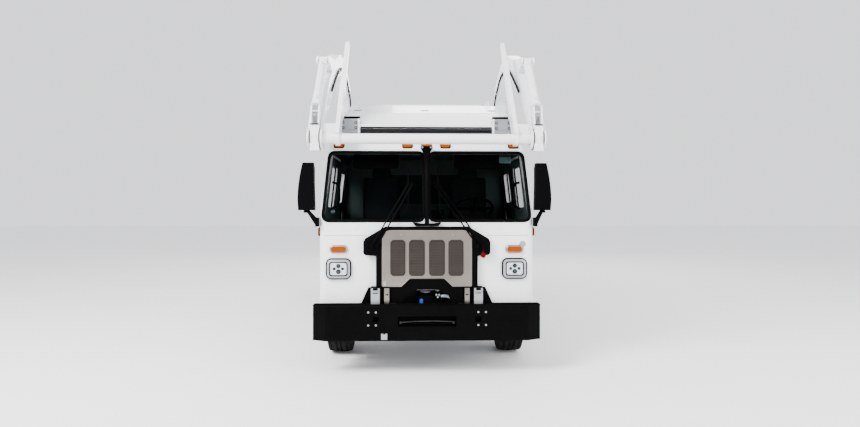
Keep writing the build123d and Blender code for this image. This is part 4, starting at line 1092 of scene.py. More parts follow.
@dataclass
class Lamps(Fittings):
    """Headlamp bezels, bowls, optics and lenses, and the amber lamps' bezels, bases and covers."""

    headlamp: Pair = (0.965, 1.138)
    headlamp_front: float = 0.152  # station of the housing's face
    turn_lamp: Pair = (0.965, 1.352)
    turn_front: float = 0.158
    markers: tuple[float, ...] = (-0.985, -0.215, 0.0, 0.215, 0.985)

    def build(self) -> None:
        """Builds every piece."""
        x, z = self.headlamp
        base = plane_at((x, st(self.headlamp_front), z))
        bezel = Shape().frame(
            rectangle(0.250, 0.203, 0.052), rectangle(0.204, 0.160, 0.034), base, 0.0, 0.014, slope=0.008,
        )
        for side in (-1, 1):
            bezel.bar((side * 0.114, 0, 0.004), (side * 0.114, 0, 0.013), 0.006, base=base)
        self.add("headlamp_bezels", bezel.both_sides(), Look.SILVER)
        bowl = Shape().frame(
            rectangle(0.176, 0.132, 0.026), rectangle(0.160, 0.116, 0.020), base, 0.0082, 0.0125, slope=0.001,
        )
        cups = ((0.0, 0.033, 0.024), (0.0, -0.030, 0.027), (-0.045, 0.002, 0.017), (0.045, 0.002, 0.017))
        for cx, cz, radius in cups:
            place = base @ Matrix.Translation((cx, cz, 0.0090))
            cup = [(0.9, 0.0), (1.02, 0.003), (1.12, 0.0032), (1.15, 0)]
            bowl.turned([(radius * share, height) for share, height in cup], place)
        bowl.prism(rectangle(0.170, 0.126, 0.022), base, 0.0084, 0.0094)
        self.add("headlamp_reflectors", bowl.both_sides(), Look.BOWL)
        bulbs, pupils = Shape(), Shape().frame(
            rectangle(0.210, 0.166, 0.036), rectangle(0.177, 0.133, 0.026), base, 0.0082, 0.0132, slope=0.001,
        )
        for cx, cz, radius in cups:
            place = base @ Matrix.Translation((cx, cz, 0.0))
            pupils.turned([(radius, 0.0120), (radius * 0.9, 0.0142), (radius * 0.2, 0.0150)], place)
            bulbs.turned([(radius * 0.62, 0.0140), (radius * 0.55, 0.0158), (radius * 0.2, 0.0161)], place)
        self.add("headlamp_bulbs", bulbs.both_sides(), Look.LINING_AND_GLASS_HAZE)
        self.add("headlamp_optics", pupils.both_sides(), Look.CAST)
        lens = Shape().prism(rectangle(0.184, 0.140, 0.028), base, 0.0165, 0.0185, 0.001)
        self.add("headlamp_lenses", lens.both_sides(), Look.LAMP)
        x, z = self.turn_lamp
        base = plane_at((x, st(self.turn_front), z))
        ring = Shape().frame(
            rectangle(0.199, 0.088, 0.043), rectangle(0.166, 0.060, 0.0295), base, -0.021, 0.004, slope=0.010,
        )
        self.add("turn_lamp_bezels", ring.both_sides(), Look.SILVER)
        bases, covers = Shape(), Shape()
        brow = plane_at((0, st(0.33), 2.45), (1, 0, 0), (0, -0.105, 0.09))
        for place in self.markers:
            bases.prism(rectangle(0.122, 0.088, 0.030, (place, 0.076)), brow, 0.0, 0.009, 0.002)
            covers.prism(rectangle(0.098, 0.056, 0.024, (place, 0.066)), brow, 0.0, 0.024, 0.004)
        for side in (-1, 1):
            edge = plane_at((side * 1.185, st(0.27), 1.54), (0, 1, 0), (side, 0, 0))
            bases.prism(rectangle(0.072, 0.106, 0.034), edge, 0.0, 0.005, 0.002)
        self.add("marker_bases", bases, Look.RUBBER)
        self.add("marker_covers", covers, Look.AMBER)


@dataclass
class Bumper(Fittings):
    """Bolts, grip, folded edges and small plate of the bumper, and the mesh and bar in its slot."""

    low: float = 0.380
    high: float = 0.760
    kink: float = 1.088
    half: float = 1.230
    sweep: float = 0.075
    bolt_x: tuple[float, ...] = (0.549, 0.630)
    bolt_z: tuple[float, ...] = (0.548, 0.687)
    slot_half: float = 0.318
    slot: Pair = (0.529, 0.646)
    slot_bars: int = 26

    def build(self) -> None:
        """Builds every piece."""
        bolts = Shape()
        for x in self.bolt_x:
            for z in self.bolt_z:
                bolts.bolt((x, st(0), z), (0, -1, 0), 0.0074)
        self.add("bumper_bolts", bolts.both_sides(), Look.ZINC)
        corner = (self.sweep / (self.half - self.kink)) * 0.008
        top = [(-self.half + 0.008, st(self.sweep) - corner), (-self.kink, st(0.003)), (self.kink, st(0.003)),
               (self.half - 0.008, st(self.sweep) - corner), (self.half - 0.008, st(0.180)),
               (0.008 - self.half, st(0.180))]
        grip = Shape().prism(top, Matrix.Translation((0, 0, self.high)), -0.004, 0.002)
        self.add("bumper_grip", grip, Look.GRIP)
        folds = Shape()
        for z in (self.low + 0.006, self.high - 0.006):
            path = [(-self.half, st(self.sweep), z), (-self.kink, st(0) + 0.002, z),
                    (self.kink, st(0) + 0.002, z), (self.half, st(self.sweep), z)]
            folds.tube(path, 0.006, 8)
        for x in (-self.slot_half, self.slot_half):
            folds.bar(*[(x, st(0.004), z) for z in self.slot], 0.006)
        for z in self.slot:
            folds.bar(*[(x, st(0.004), z) for x in (-self.slot_half, self.slot_half)], 0.006)
        self.add("bumper_folds", folds, Look.BLACK_PAINT)
        slot = Shape()
        for i in range(self.slot_bars):
            x = -0.30 + i * 0.024
            slot.bar((x, st(0.030), 0.535), (x + 0.012, st(0.030), 0.640), 0.003, sides=6)
        for z in (0.56, 0.588, 0.616):
            slot.bar((-0.312, st(0.033), z), (0.312, st(0.033), z), 0.003, sides=6)
        self.add("bumper_slot_mesh", slot, Look.BLACK_PAINT)
        back = Shape().block((-0.33, st(0.056), 0.515), (0.33, st(0.059), 0.66))
        for side in (-1, 1):
            back.block((side * 0.55 - 0.045, st(0.056), 0.57), (side * 0.55 + 0.045, st(0.059), 0.65))
        self.add("bumper_backing", back, Look.RUBBER)
        hooks = Shape()
        for x in (-0.285, 0.285):
            hooks.turned([(0.014, 0.0), (0.014, 0.008), (0.006, 0.01)], plane_at((x, st(0.028), 0.572)))
        path = [(-0.27, st(0.026), 0.575), (-0.12, st(0.024), 0.585),
                (0.10, st(0.024), 0.588), (0.27, st(0.026), 0.58)]
        hooks.tube(path, 0.006, 8)
        self.add("bumper_slot_bar", hooks, Look.CAST)
        plate = [(-0.032, -0.032), (0.032, -0.032), (0.032, 0.032), (0.012, 0.032), (0.006, 0.022),
                 (-0.006, 0.022), (-0.012, 0.032), (-0.032, 0.032)]
        base = plane_at((-0.460, st(0), 0.427))
        self.add("bumper_plate", Shape().prism(plate, base, 0.0, 0.004, 0.001), Look.SILVER)


@dataclass
class UnderGrille(Fittings):
    """Silver faces and bright strips of the supports below the grille, header fittings and red tag."""

    face: float = 0.092  # station of the supports' front
    low: float = 0.76
    high: float = 0.937
    bracket: Pair = (0.512, 0.608)
    strip: Pair = (0.410, 0.464)

    def build(self) -> None:
        """Builds every piece."""
        base = plane_at((0, st(self.face), 0))
        a, b = self.bracket
        white = Shape().block((a, self.low, 0), (b, self.high - 0.004, 0.006), 0.003, base)
        white.block((a + 0.012, self.high - 0.040, 0.006), (b - 0.012, self.high - 0.028, 0.022), 0.003, base)
        self.add("support_faces", white.both_sides(), Look.SILVER)
        dark = Shape()
        dark.block((a + 0.022, self.high - 0.028, 0.006), (b - 0.022, self.high - 0.004, 0.010), base=base)
        dark.block((a + 0.020, self.high - 0.062, 0.006), (b - 0.020, self.high - 0.054, 0.008), base=base)
        self.add("support_slots", dark.both_sides(), Look.RUBBER)
        a, b = self.strip
        strips = Shape().block((a, self.low, -0.007), (b, self.high - 0.004, -0.002), 0.001, base)
        self.add("support_strips", strips.both_sides(), Look.STAINLESS)
        holes = Shape()
        for shift, radius in ((-0.008, 0.009), (0.008, 0.007)):
            x = (a + b) / 2 + shift
            holes.bar((x, 0.862, -0.004), (x, 0.862, 0.001), radius, base=base)
        self.add("strip_bolts", holes.both_sides(), Look.PLASTIC)
        self._header()
        tag = Shape()
        place = plane_at((0.611, st(0.108), 1.290))
        corners = [(-0.030, 0.004), (-0.004, 0.036), (0.026, 0.020),
                   (0.032, -0.014), (0.010, -0.036), (-0.024, -0.018)]
        tag.prism(corners, place, 0.0, 0.003)
        tag.tube([(0.0, 0.034, 0.002), (0.006, 0.062, -0.004), (0.0, 0.085, -0.02)], 0.0022, 6, base=place)
        self.add("red_tag", tag, Look.RED_PLASTIC)

    def _header(self) -> None:
        """The cap, sight bottle, hose, handle and brass fittings of the coolant header."""
        cap = Shape().turned(
            [(0.060, 0), (0.062, 0.008), (0.056, 0.014), (0.020, 0.020), (0.018, 0.026), (0.006, 0.03)],
            plane_at((-0.015, st(0.24), 0.872), (1, 0, 0), UP), 28,
        )
        cap.tube([(-0.13, st(0.19), 0.902), (0.02, st(0.185), 0.905), (0.11, st(0.185), 0.904)], 0.0055, 8)
        knob = plane_at((0.12, st(0.19), 0.890), (1, 0, 0), UP)
        cap.turned([(0.022, 0), (0.026, 0.012), (0.018, 0.022)], knob)
        for x, z in ((0.105, 0.85), (0.135, 0.85), (0.12, 0.825)):
            cap.bar((x, st(0.18), z), (x, st(0.165), z), 0.011, sides=6)
        self.add("header_fittings", cap, Look.ZINC)
        bottle = Shape().turned(
            [(0.012, 0), (0.019, 0.006), (0.020, 0.046), (0.010, 0.056)],
            plane_at((-0.060, st(0.155), 0.752), (1, 0, 0), UP),
        )
        self.add("header_bottle", bottle, Look.BLUE_PLASTIC)
        hose = Shape().tube(
            [(0.16, st(0.19), 0.83), (0.20, st(0.175), 0.838), (0.245, st(0.17), 0.828),
             (0.285, st(0.17), 0.80), (0.31, st(0.175), 0.762)], 0.017, 12,
        )
        self.add("header_hose", hose, Look.GREY_HOSE)


# ---------------------------------------------------------------- the cab's skin
@dataclass
class CabSkin(Fittings):
    """Seams, scoops, rivets, gutters, window seals, and the doors' handles, swages and linings."""

    half: float = 1.185
    roof_half: float = 1.090
    belt: float = 1.640
    roof: float = 2.465
    face: float = 0.180

    def side(self, mirror: int) -> Matrix:
        """The leaning side wall above the belt.

        Args:
            mirror: 1 on the left, -1 on the right.

        Returns:
            Its plane, with X running back on the left and forward on the right.
        """
        run, rise = self.half - self.roof_half, self.roof - self.belt
        return plane_at((mirror * self.half, st(0), self.belt), (0, mirror, 0), (mirror * rise, 0, run))

    def slope(self, height: float) -> float:
        """How far up the side wall a height is.

        Args:
            height: above the ground.

        Returns:
            The distance from the belt, along the wall.
        """
        run, rise = self.half - self.roof_half, self.roof - self.belt
        return (height - self.belt) * math.hypot(run, rise) / rise

    def build(self) -> None:
        """Builds every piece."""
        self._front()
        self._sides()
        self._doors()

    def _front(self) -> None:
        """Seams, scoops, rivets and the plain round disc on the face."""
        base = plane_at((0, st(self.face), 0))
        seams = Shape()
        for side in (-1, 1):
            ends = sorted((side * 0.665, side * 1.115))
            seams.block((ends[0], 1.4985, -0.001), (ends[1], 1.5025, 0.0006), base=base)
            seams.block((ends[0], 1.6385, -0.001), (ends[1], 1.6405, 0.0005), base=base)
        self.add("face_seams", seams, Look.SEAM)
        scoops = Shape()
        corners = [(-0.046, 0.024), (0.046, 0.024), (0.028, -0.024), (-0.028, -0.024)]
        for side in (-1, 1):
            place = plane_at((side * 0.790, st(self.face), 1.600))
            scoops.prism(rounded(corners, 0.008, 3), place, -0.004, 0.010, 0.003)
        self.add("face_scoops", scoops, Look.CAB_PAINT)
        rivets = Shape()
        for side in (-1, 1):
            places = [(side * (0.74 + i * 0.052), 0.962) for i in range(9)]
            places += [(side * 0.735, 1.02 + i * 0.046) for i in range(6)]
            for place in places:
                rivets.bar((*place, 0), (*place, 0.0018), 0.0065, 0.004, 12, base=base)
        self.add("face_rivets", rivets, Look.CAB_PAINT)
        badge = Shape().bar((1.058, 1.405, 0), (1.058, 1.405, 0.0012), 0.036, sides=32, base=base)
        self.add("face_disc", badge, Look.SILVER)

    def _sides(self) -> None:
        """Rain gutters and the seals of the side windows."""
        gutters = Shape()
        for side in (-1, 1):
            wall = self.side(side)
            top = self.slope(2.455)
            reach = [(0.40, top - 0.05), (0.44, top), (1.72, top), (1.76, top - 0.05)]
            gutters.tube([(side * x, y, 0.010) for x, y in reach], 0.011, 8,
                         flat=0.8, base=wall)
            for front, back, low, high in ((1.250, 1.640, 1.790, 2.280), (0.425, 1.045, 1.700, 2.300)):
                low, high = self.slope(low), self.slope(high)
                loop = rounded([(front, low), (back, low), (back, high), (front, high)], 0.06, 6)
                ring = [(side * x, y, 0.001) for x, y in loop]
                body = "truck" if front > 1 else ("door_left" if side > 0 else "door_right")
                seal = Shape().tube(ring, 0.012, 10, closed=True, flat=0.75, base=wall)
                self.add(f"window_seal_{body}_{'left' if side > 0 else 'right'}", seal, Look.RUBBER, body)
        self.add("rain_gutters", gutters, Look.CAB_PAINT)

    def _doors(self) -> None:
        """Handles, swages and linings of the two doors."""
        for side, name in ((1, "left"), (-1, "right")):
            x = side * self.half
            plate = plane_at((x, st(1.035), 1.520), (0, side, 0), (side, 0, 0))
            pull = Shape().prism(rectangle(0.15, 0.085, 0.02), plate, -0.002, 0.006, 0.002)
            pull.prism(rectangle(0.11, 0.026, 0.010, (0, 0.012)), plate, 0.014, 0.024, 0.003)
            for end in (-0.045, 0.045):
                pull.bar((end, 0.012, 0.004), (end, 0.012, 0.016), 0.006, base=plate)
            lock = plate @ Matrix.Translation((0, -0.024, 0))
            pull.turned([(0.012, 0), (0.012, 0.007), (0.009, 0.010)], lock)
            self.add(f"door_handle_{name}", pull, Look.BLACK_PAINT, f"door_{name}")
            skin = Shape()
            wall = plane_at((x, st(0.735), 1.36), (0, side, 0), (side, 0, 0))
            skin.frame(rectangle(0.70, 0.16, 0.03), rectangle(0.67, 0.13, 0.02), wall, 0.0, 0.004)
            self.add(f"door_swage_{name}", skin, Look.CAB_PAINT, f"door_{name}")
            lining = Shape().slab(side, (1.085, 1.135), (0.40, 1.07), (1.30, 1.62), 0.02)
            self.add(f"door_lining_{name}", lining, Look.PLASTIC, f"door_{name}")


@dataclass
class Mirrors(Fittings):
    """Glass, rims and clamps of the two mirrors."""

    heads: tuple[Pair, ...] = ((-1, 1.322), (1, 1.284))
    back: float = 0.264  # station of the heads' back face
    low: float = 1.778
    high: float = 2.300

    def build(self) -> None:
        """Builds every piece."""
        glass, rims, clamps = Shape(), Shape(), Shape()
        for side, middle in self.heads:
            for low, high in ((self.low + 0.03, self.low + 0.15), (self.low + 0.175, self.high - 0.035)):
                x = side * (middle - 0.012)
                place = plane_at((x, st(self.back), (low + high) / 2), (-1, 0, 0), (0, 1, 0))
                glass.prism(rectangle(0.128, high - low, 0.02), place, 0.0, 0.003)
                rims.frame(
                    rectangle(0.142, high - low + 0.014, 0.025), rectangle(0.126, high - low - 0.002, 0.019),
                    place, -0.002, 0.007, slope=0.002,
                )
            foot = side * 1.207
            clamps.block((foot - 0.020, st(0.160), 1.655), (foot + 0.020, st(0.240), 1.690), 0.006)
            for z in (1.625, 1.680):
                clamps.bolt((side * 1.219, st(0.20), z), (side, 0, 0), 0.009)
            clamps.turned([(0.030, 0), (0.034, 0.012), (0.024, 0.03)],
                          plane_at((side * middle, st(0.201), self.low - 0.028), (1, 0, 0), UP))
        self.add("mirror_glass", glass, Look.CHROME)
        self.add("mirror_rims", rims, Look.RUBBER)
        self.add("mirror_clamps", clamps, Look.BLACK_PAINT)


# ---------------------------------------------------------------- the loader
@dataclass
class Loader(Fittings):
    """Pin heads, welds and pipes of the lift arms and forks, and their cylinders' glands and ports."""

    body: str = "lift_arms"
    inner: float = 1.130
    width: float = 0.155
    pivot: Pair = (2.150, 1.300)
    tube: Pair = (0.120, 2.555)
    fork_base: Pair = (0.700, 3.550)
    lift_base: Pair = (3.450, 0.980)
    gland: float = 0.010  # how far a gland stands out from its barrel
    line: tuple[Point, ...] = (
        # station, height, half depth
        (2.150, 1.300, 0.150), (2.740, 1.960, 0.150), (3.270, 2.560, 0.145), (3.270, 3.080, 0.140),
        (2.880, 3.560, 0.135), (2.300, 3.765, 0.132), (1.780, 3.765, 0.130), (1.350, 3.610, 0.125),
        (0.740, 3.235, 0.112), (0.400, 2.915, 0.102), (0.120, 2.555, 0.098),
    )

    def build(self) -> None:
        """Builds every piece."""
        self._pins()
        self._pipes()
        self._forks()
        self._cylinders()

    def _pins(self) -> None:
        """Pin heads with keeper plates at each joint, and the gussets' bolts."""
        outer = self.inner + self.width
        heads, bolts = Shape(), Shape()
        for (station, height), radius in ((self.fork_base, 0.036), (self.pivot, 0.085)):
            base = plane_at((outer, st(station), height), (0, 1, 0), (1, 0, 0))
            profile = ((1.0, 0.0), (1.0, 0.008), (0.8, 0.012), (0.3, 0.0125))
            heads.turned([(radius * share, height) for share, height in profile], base)
            keeper = rectangle(radius * 1.6, radius * 0.9, 0.004, (radius * 1.1, 0))
            heads.prism(keeper, base, 0.0, 0.006, 0.001)
            for end in (0.75, 1.55):
                place = base @ Vector((radius * end, 0, 0.006))
                bolts.bolt(place, (1, 0, 0), min(0.011, radius * 0.16), False)
        self.add("arm_pin_heads", heads.both_sides(), Look.BODY_PAINT)
        self.add("arm_pin_bolts", bolts.both_sides(), Look.ZINC)

    def _path(self, share: float, start: int, stop: int, x: float) -> list[Point]:
        """Points beside the arm's centreline at a share of its half depth, bowed round its bends."""
        points = []
        rows = self.line[start:stop]
        for i, (station, height, half) in enumerate(rows):
            before, after = rows[max(i - 1, 0)], rows[min(i + 1, len(rows) - 1)]
            along = Vector((after[0] - before[0], after[1] - before[1])).normalized()
            points.append(Vector((x, st(station - along.y * half * share), height + along.x * half * share)))
        smooth: list[Point] = []
        for i, point in enumerate(points):
            if 0 < i < len(points) - 1:
                for t in (0.0, 0.25, 0.5, 0.75, 1.0):
                    a, b = point.lerp(points[i - 1], 0.25), point.lerp(points[i + 1], 0.25)
                    smooth.append(tuple(a * (1 - t) ** 2 + point * 2 * t * (1 - t) + b * t ** 2))
            else:
                smooth.append(tuple(point))
        return smooth

    def _pipes(self) -> None:
        """Weld beads along the plates, and two hydraulic pipes with their clamps on the inner face."""
        welds = Shape()
        for x in (self.inner + 0.004, self.inner + self.width - 0.004):
            for share in (-0.965, 0.965):
                welds.tube(self._path(share, 1, 10, x), 0.0045, 6)
        self.add("arm_welds", welds.both_sides(), Look.BODY_PAINT)
        pipes, clamps = Shape(), Shape()
        for share in (0.30, 0.46):
            path = self._path(share, 1, 9, self.inner - 0.012)
            pipes.tube(path, 0.009, 8)
            for point in path[3::6]:
                x, y, z = point
                low, high = (x - 0.012, y - 0.02, z - 0.016), (self.inner + 0.001, y + 0.02, z + 0.016)
                clamps.block(low, high, 0.004)
        self.add("arm_pipes", pipes.both_sides(), Look.CHASSIS)
        self.add("arm_pipe_clamps", clamps.both_sides(), Look.ZINC)

    def _forks(self) -> None:
        """Welds and tube caps of the forks, and the dark discs and thin dark bar at their cranks: painted
        shadow of the gaps round each crank.
        """
        angle = math.radians(127)
        along = Vector((-math.cos(angle), math.sin(angle)))
        welds, caps = Shape(), Shape()
        for side in (-1, 1):
            for x in (0.9455, 0.9905):
                path = []
                for length, offset in ((0.42, -0.088), (1.25, -0.054), (1.62, -0.022)):
                    station = self.tube[0] + along.x * length + along.y * offset
                    path.append((side * x, st(station), self.tube[1] + along.y * length - along.x * offset))
                welds.tube(path, 0.004, 6)
            for x in (0.943, 0.993):
                ring = [(side * x, st(self.tube[0]) + 0.059 * math.cos(a), self.tube[1] + 0.059 * math.sin(a))
                        for a in (math.radians(20 * i) for i in range(18))]
                base = plane_at((0, 0, 0), (0, 1, 0), (1, 0, 0))
                welds.tube([base.inverted() @ Vector(p) for p in ring], 0.006, 6, closed=True, base=base)
            end = side * (self.inner + self.width + 0.012)
            base = plane_at((end, st(self.tube[0]), self.tube[1]), (0, 1, 0), (side, 0, 0))
            caps.turned([(0.062, 0.0), (0.062, 0.004), (0.045, 0.007), (0.012, 0.0075)], base, 32)
        self.add("fork_welds", welds, Look.BODY_PAINT, "forks")
        self.add("fork_tube_caps", caps, Look.BLACK_PAINT, "forks")
        # painted shadow: dark cast-iron discs beside each crank and a thin dark bar across its top stand for
        # the shade in the gaps between crank and arm plates
        gap_shadows, middle = Shape(), self.inner + self.width / 2
        for x in (middle - 0.0525, middle + 0.0525):
            ends = [(x + shift, st(self.tube[0]), self.tube[1]) for shift in (-0.006, 0.006)]
            gap_shadows.bar(*ends, 0.118, sides=48)
        gap_shadows.bar((middle - 0.048, st(0.032), 2.703), (middle + 0.048, st(0.032), 2.703), 0.006, sides=8)
        self.add("crank_gap_shadows", gap_shadows.both_sides(), Look.CAST, "forks")

    def _cylinders(self) -> None:
        """Glands, ports and pipes on the lift, fork and tailgate cylinders."""
        arm = self.inner + self.width / 2
        # body, middle, base point, far point, barrel radius, place of the gland and of the ports
        table = (
            ("lift_barrels", arm, self.lift_base, (2.1066, 1.0538), 0.054, 1.070, (0.16, 0.98)),
            ("fork_barrels", arm, self.fork_base, (0.131, 2.8698), 0.050, 0.830, (0.13, 0.74)),
            ("tailgate_barrels", 1.250, (7.850, 1.985), (8.600, 3.120), 0.040, 1.240, (0.12, 1.16)),
        )
        for body, x, base, far, radius, closed, ports in table:
            start = Vector((x, st(base[0]), base[1]))
            way = (Vector((x, st(far[0]), far[1])) - start).normalized()
            glands = Shape()
            for place in (closed - 0.012, closed - 0.052):
                glands.bar(start + way * place, start + way * (place + 0.010), radius + self.gland, sides=28)
            out = way.cross(Vector((1, 0, 0)))
            if out.z < 0:
                out = -out
            for place in ports:
                foot = start + way * place
                glands.bar(foot + out * (radius - 0.01), foot + out * (radius + 0.022), 0.017, sides=6)
            self.add(f"{body}_glands", glands.both_sides(), Look.BODY_PAINT, body)
            pipe = Shape()
            a, b = (start + way * p + out * (radius + 0.016) for p in ports)
            bends = [a + out * 0.012, a + out * 0.02 + way * 0.02,
                     b + out * 0.02 - way * 0.02, b + out * 0.012]
            pipe.tube([a, *bends, b], 0.008, 8)
            self.add(f"{body}_pipes", pipe.both_sides(), Look.BODY_PAINT, body)


@dataclass
class Canopy(Fittings):
    """Mesh, dark strips of painted shade along the lip and behind the mesh, posts, pads, bolted plates, grips
    and latches of the guard over the cab.
    """

    front: float = 0.450
    half: float = 0.990
    bracket: Pair = (0.762, 0.990)

    def build(self) -> None:
        """Builds every piece."""
        low, high = self.bracket
        mesh = Shape()
        base = plane_at((0, st(self.front), 0))
        mesh.block((-0.75, 2.645, -0.016), (0.75, 2.7145, -0.014), base=base)
        self.add("canopy_mesh", mesh, Look.MESH_BLACK)
        # painted shade in black rubber: a dark strip over the lip's lower edge, a dark sheet behind the mesh
        # and two thin bars across it
        seal = Shape().block((-0.752, 2.7155, -0.002), (0.752, 2.733, 0.0025), 0.001, base)
        seal.block((-0.75, 2.640, -0.030), (0.75, 2.7145, -0.026), base=base)
        for z in (2.660, 2.685):
            seal.bar((-0.75, z, -0.010), (0.75, z, -0.010), 0.003, sides=8, base=base)
        self.add("canopy_shade_strips", seal, Look.RUBBER)
        posts = Shape().block((low - 0.003, st(0.452), 2.655), (low + 0.018, st(0.4335), 2.8225), 0.003)
        self.add("canopy_posts", posts.both_sides(), Look.BODY_PAINT)
        strips = Shape()
        strips.block((low - 0.004, st(0.50), 2.8225), (0.940, st(0.434), 2.850), 0.004)
        self.add("canopy_pads", strips.both_sides(), Look.RUBBER)
        plates = Shape()
        plate = plane_at(((low + high) / 2, st(0.440), 2.748))
        plates.prism(rectangle(high - low - 0.03, 0.10, 0.008), plate, 0.0, 0.008, 0.002)
        self.add("canopy_plates", plates.both_sides(), Look.ZINC)
        bolts, washers = Shape(), Shape()
        for dx in (-0.0725, 0.0725):
            for dz in (-0.030, 0.030):
                place = plate @ Vector((dx, dz, 0.008))
                washers.bar(place, place + Vector((0, -0.002, 0)), 0.0165, sides=18)
                bolts.bolt(place + Vector((0, -0.002, 0)), (0, -1, 0), 0.0095, False)
        self.add("canopy_bolts", bolts.both_sides(), Look.ZINC)
        self.add("canopy_washers", washers.both_sides(), Look.CHASSIS)
        details, rims = Shape(), Shape()
        slope = plane_at((0, st(1.0), 2.978), (1, 0, 0), (0, -0.277, 1.0))
        for x in (-0.86, 0.0, 0.86):
            rims.tube([(x + px, 0.31 + py, 0.002) for px, py in rectangle(0.095, 0.034, 0.016)], 0.0035, 8,
                      closed=True, base=slope)
        self.add("canopy_grips", rims, Look.ZINC)
        for side in (-1, 1):
            ring = [(side * 0.88 + 0.024 * math.cos(a), 0.94, 0.030 + 0.024 * math.sin(a))
                    for a in (math.radians(15 * i) for i in range(-3, 16))]
            details.tube(ring, 0.006, 8, base=slope)
            details.block((side * 0.88 - 0.03, 0.925, 0.0), (side * 0.88 + 0.03, 0.955, 0.008), 0.002, slope)
        details.block((-0.93, 0.0, -0.001), (0.93, 0.014, 0.004), 0.0015, slope)
        self.add("canopy_latches", details, Look.BODY_PAINT)


# ---------------------------------------------------------------- hopper, body and tailgate
@dataclass
class Packer(Fittings):
    """Ladder, lamps, rails and swages of hopper and body, and the tailgate's seal and latches."""

    half: float = 1.150
    ladder_x: float = 1.060
    ladder: Pair = (3.62, 4.00)  # stations of its two rails
    rungs: int = 7
    side_markers: tuple[float, ...] = (4.70, 6.12, 7.60)
    hopper_ribs: tuple[float, ...] = (2.02, 2.66, 3.30, 4.32)
    rear_markers: tuple[Pair, ...] = (
        (-1.06, 2.30), (1.06, 2.30), (-0.16, 2.36), (0.0, 2.36), (0.16, 2.36), (-1.06, 1.9), (1.06, 1.9),
    )

    def build(self) -> None:
        """Builds every piece."""
        ladder = Shape()
        for station in self.ladder:
            bends = ((1.012, 1.24), (self.ladder_x, 1.27), (self.ladder_x, 3.16), (1.012, 3.20))
            ladder.tube([(x, st(station), z) for x, z in bends], 0.014, 10)
        for i in range(self.rungs):
            ends = [(self.ladder_x, st(station), 1.40 + i * 0.27) for station in self.ladder]
            ladder.bar(*ends, 0.012)
        self.add("ladder", ladder, Look.CHASSIS)
        lamps = Shape()
        for station in self.side_markers:
            for side in (-1, 1):
                base = plane_at((side * self.half, st(station), 1.215), (0, side, 0), (side, 0, 0))
                lamps.prism(rectangle(0.10, 0.042, 0.02), base, 0.0, 0.016, 0.005)
        self.add("side_markers", lamps, Look.AMBER)
        straps = Shape()
        for side in (-1, 1):
            for station in self.hopper_ribs:
                straps.slab(side, (1.009, 1.032), (station, station + 0.06), (1.16, 3.18), 0.004)
            straps.slab(side, (1.008, 1.040), (1.96, 4.44), (3.15, 3.21), 0.006)
            for heights in ((1.132, 1.19), (3.17, 3.228)):
                straps.slab(side, (self.half - 0.002, self.half + 0.030), (4.46, 8.23), heights, 0.006)
        self.add("body_rails", straps, Look.BODY_PAINT)
        seams = Shape()
        for side in (-1, 1):
            for ends in ((4.60, 5.07), (5.18, 5.65), (5.76, 6.23), (6.34, 6.81), (6.92, 7.39), (7.50, 8.09)):
                for z in (1.75, 2.45):
                    seams.slab(side, (self.half - 0.001, self.half + 0.004), ends, (z, z + 0.012), 0.002)
        self.add("body_swages", seams, Look.BODY_PAINT)
        self._tailgate()

    def _tailgate(self) -> None:
        """Seal, latches, lamps and rails of the tailgate."""
        seal = Shape()
        for side in (-1, 1):
            seal.slab(side, (1.192, 1.192 * 0.96), (8.241, 8.247), (1.10, 3.24), 0.001)
        seal.block((-1.15, st(8.241), 1.10), (1.15, st(8.247), 1.15), 0.001)
        self.add("tailgate_seal", seal, Look.RUBBER)
        latches = Shape()
        for side in (-1, 1):
            latches.slab(side, (1.195, 1.235), (8.27, 8.36), (1.16, 1.30), 0.008)
            latches.bar((side * 1.20, st(8.315), 1.23), (side * 1.25, st(8.315), 1.23), 0.026)
        self.add("tailgate_latches", latches, Look.ZINC, "tailgate")
        hooks = Shape()
        for side in (-1, 1):
            hooks.slab(side, (1.196, 1.226), (8.12, 8.235), (1.19, 1.27), 0.008)
        self.add("latch_hooks", hooks, Look.BODY_PAINT)
        markers = Shape()
        back = plane_at((0, st(9.3), 0), (-1, 0, 0), (0, 1, 0))
        for place in self.rear_markers:
            markers.prism(rectangle(0.13, 0.05, 0.024, place), back, -0.010, -0.0005)
        self.add("tailgate_markers", markers, Look.RED, "tailgate")
        frames = Shape()
        for z in (1.80, 2.395):
            frames.block((-1.12, z, -0.012), (1.12, z + 0.03, -0.0005), 0.0, back)
        self.add("tailgate_rails", frames, Look.BODY_PAINT, "tailgate")


# ---------------------------------------------------------------- wheels
class Tread(Enum):
    """The two tread patterns."""

    STEER = "steer"
    DRIVE = "drive"


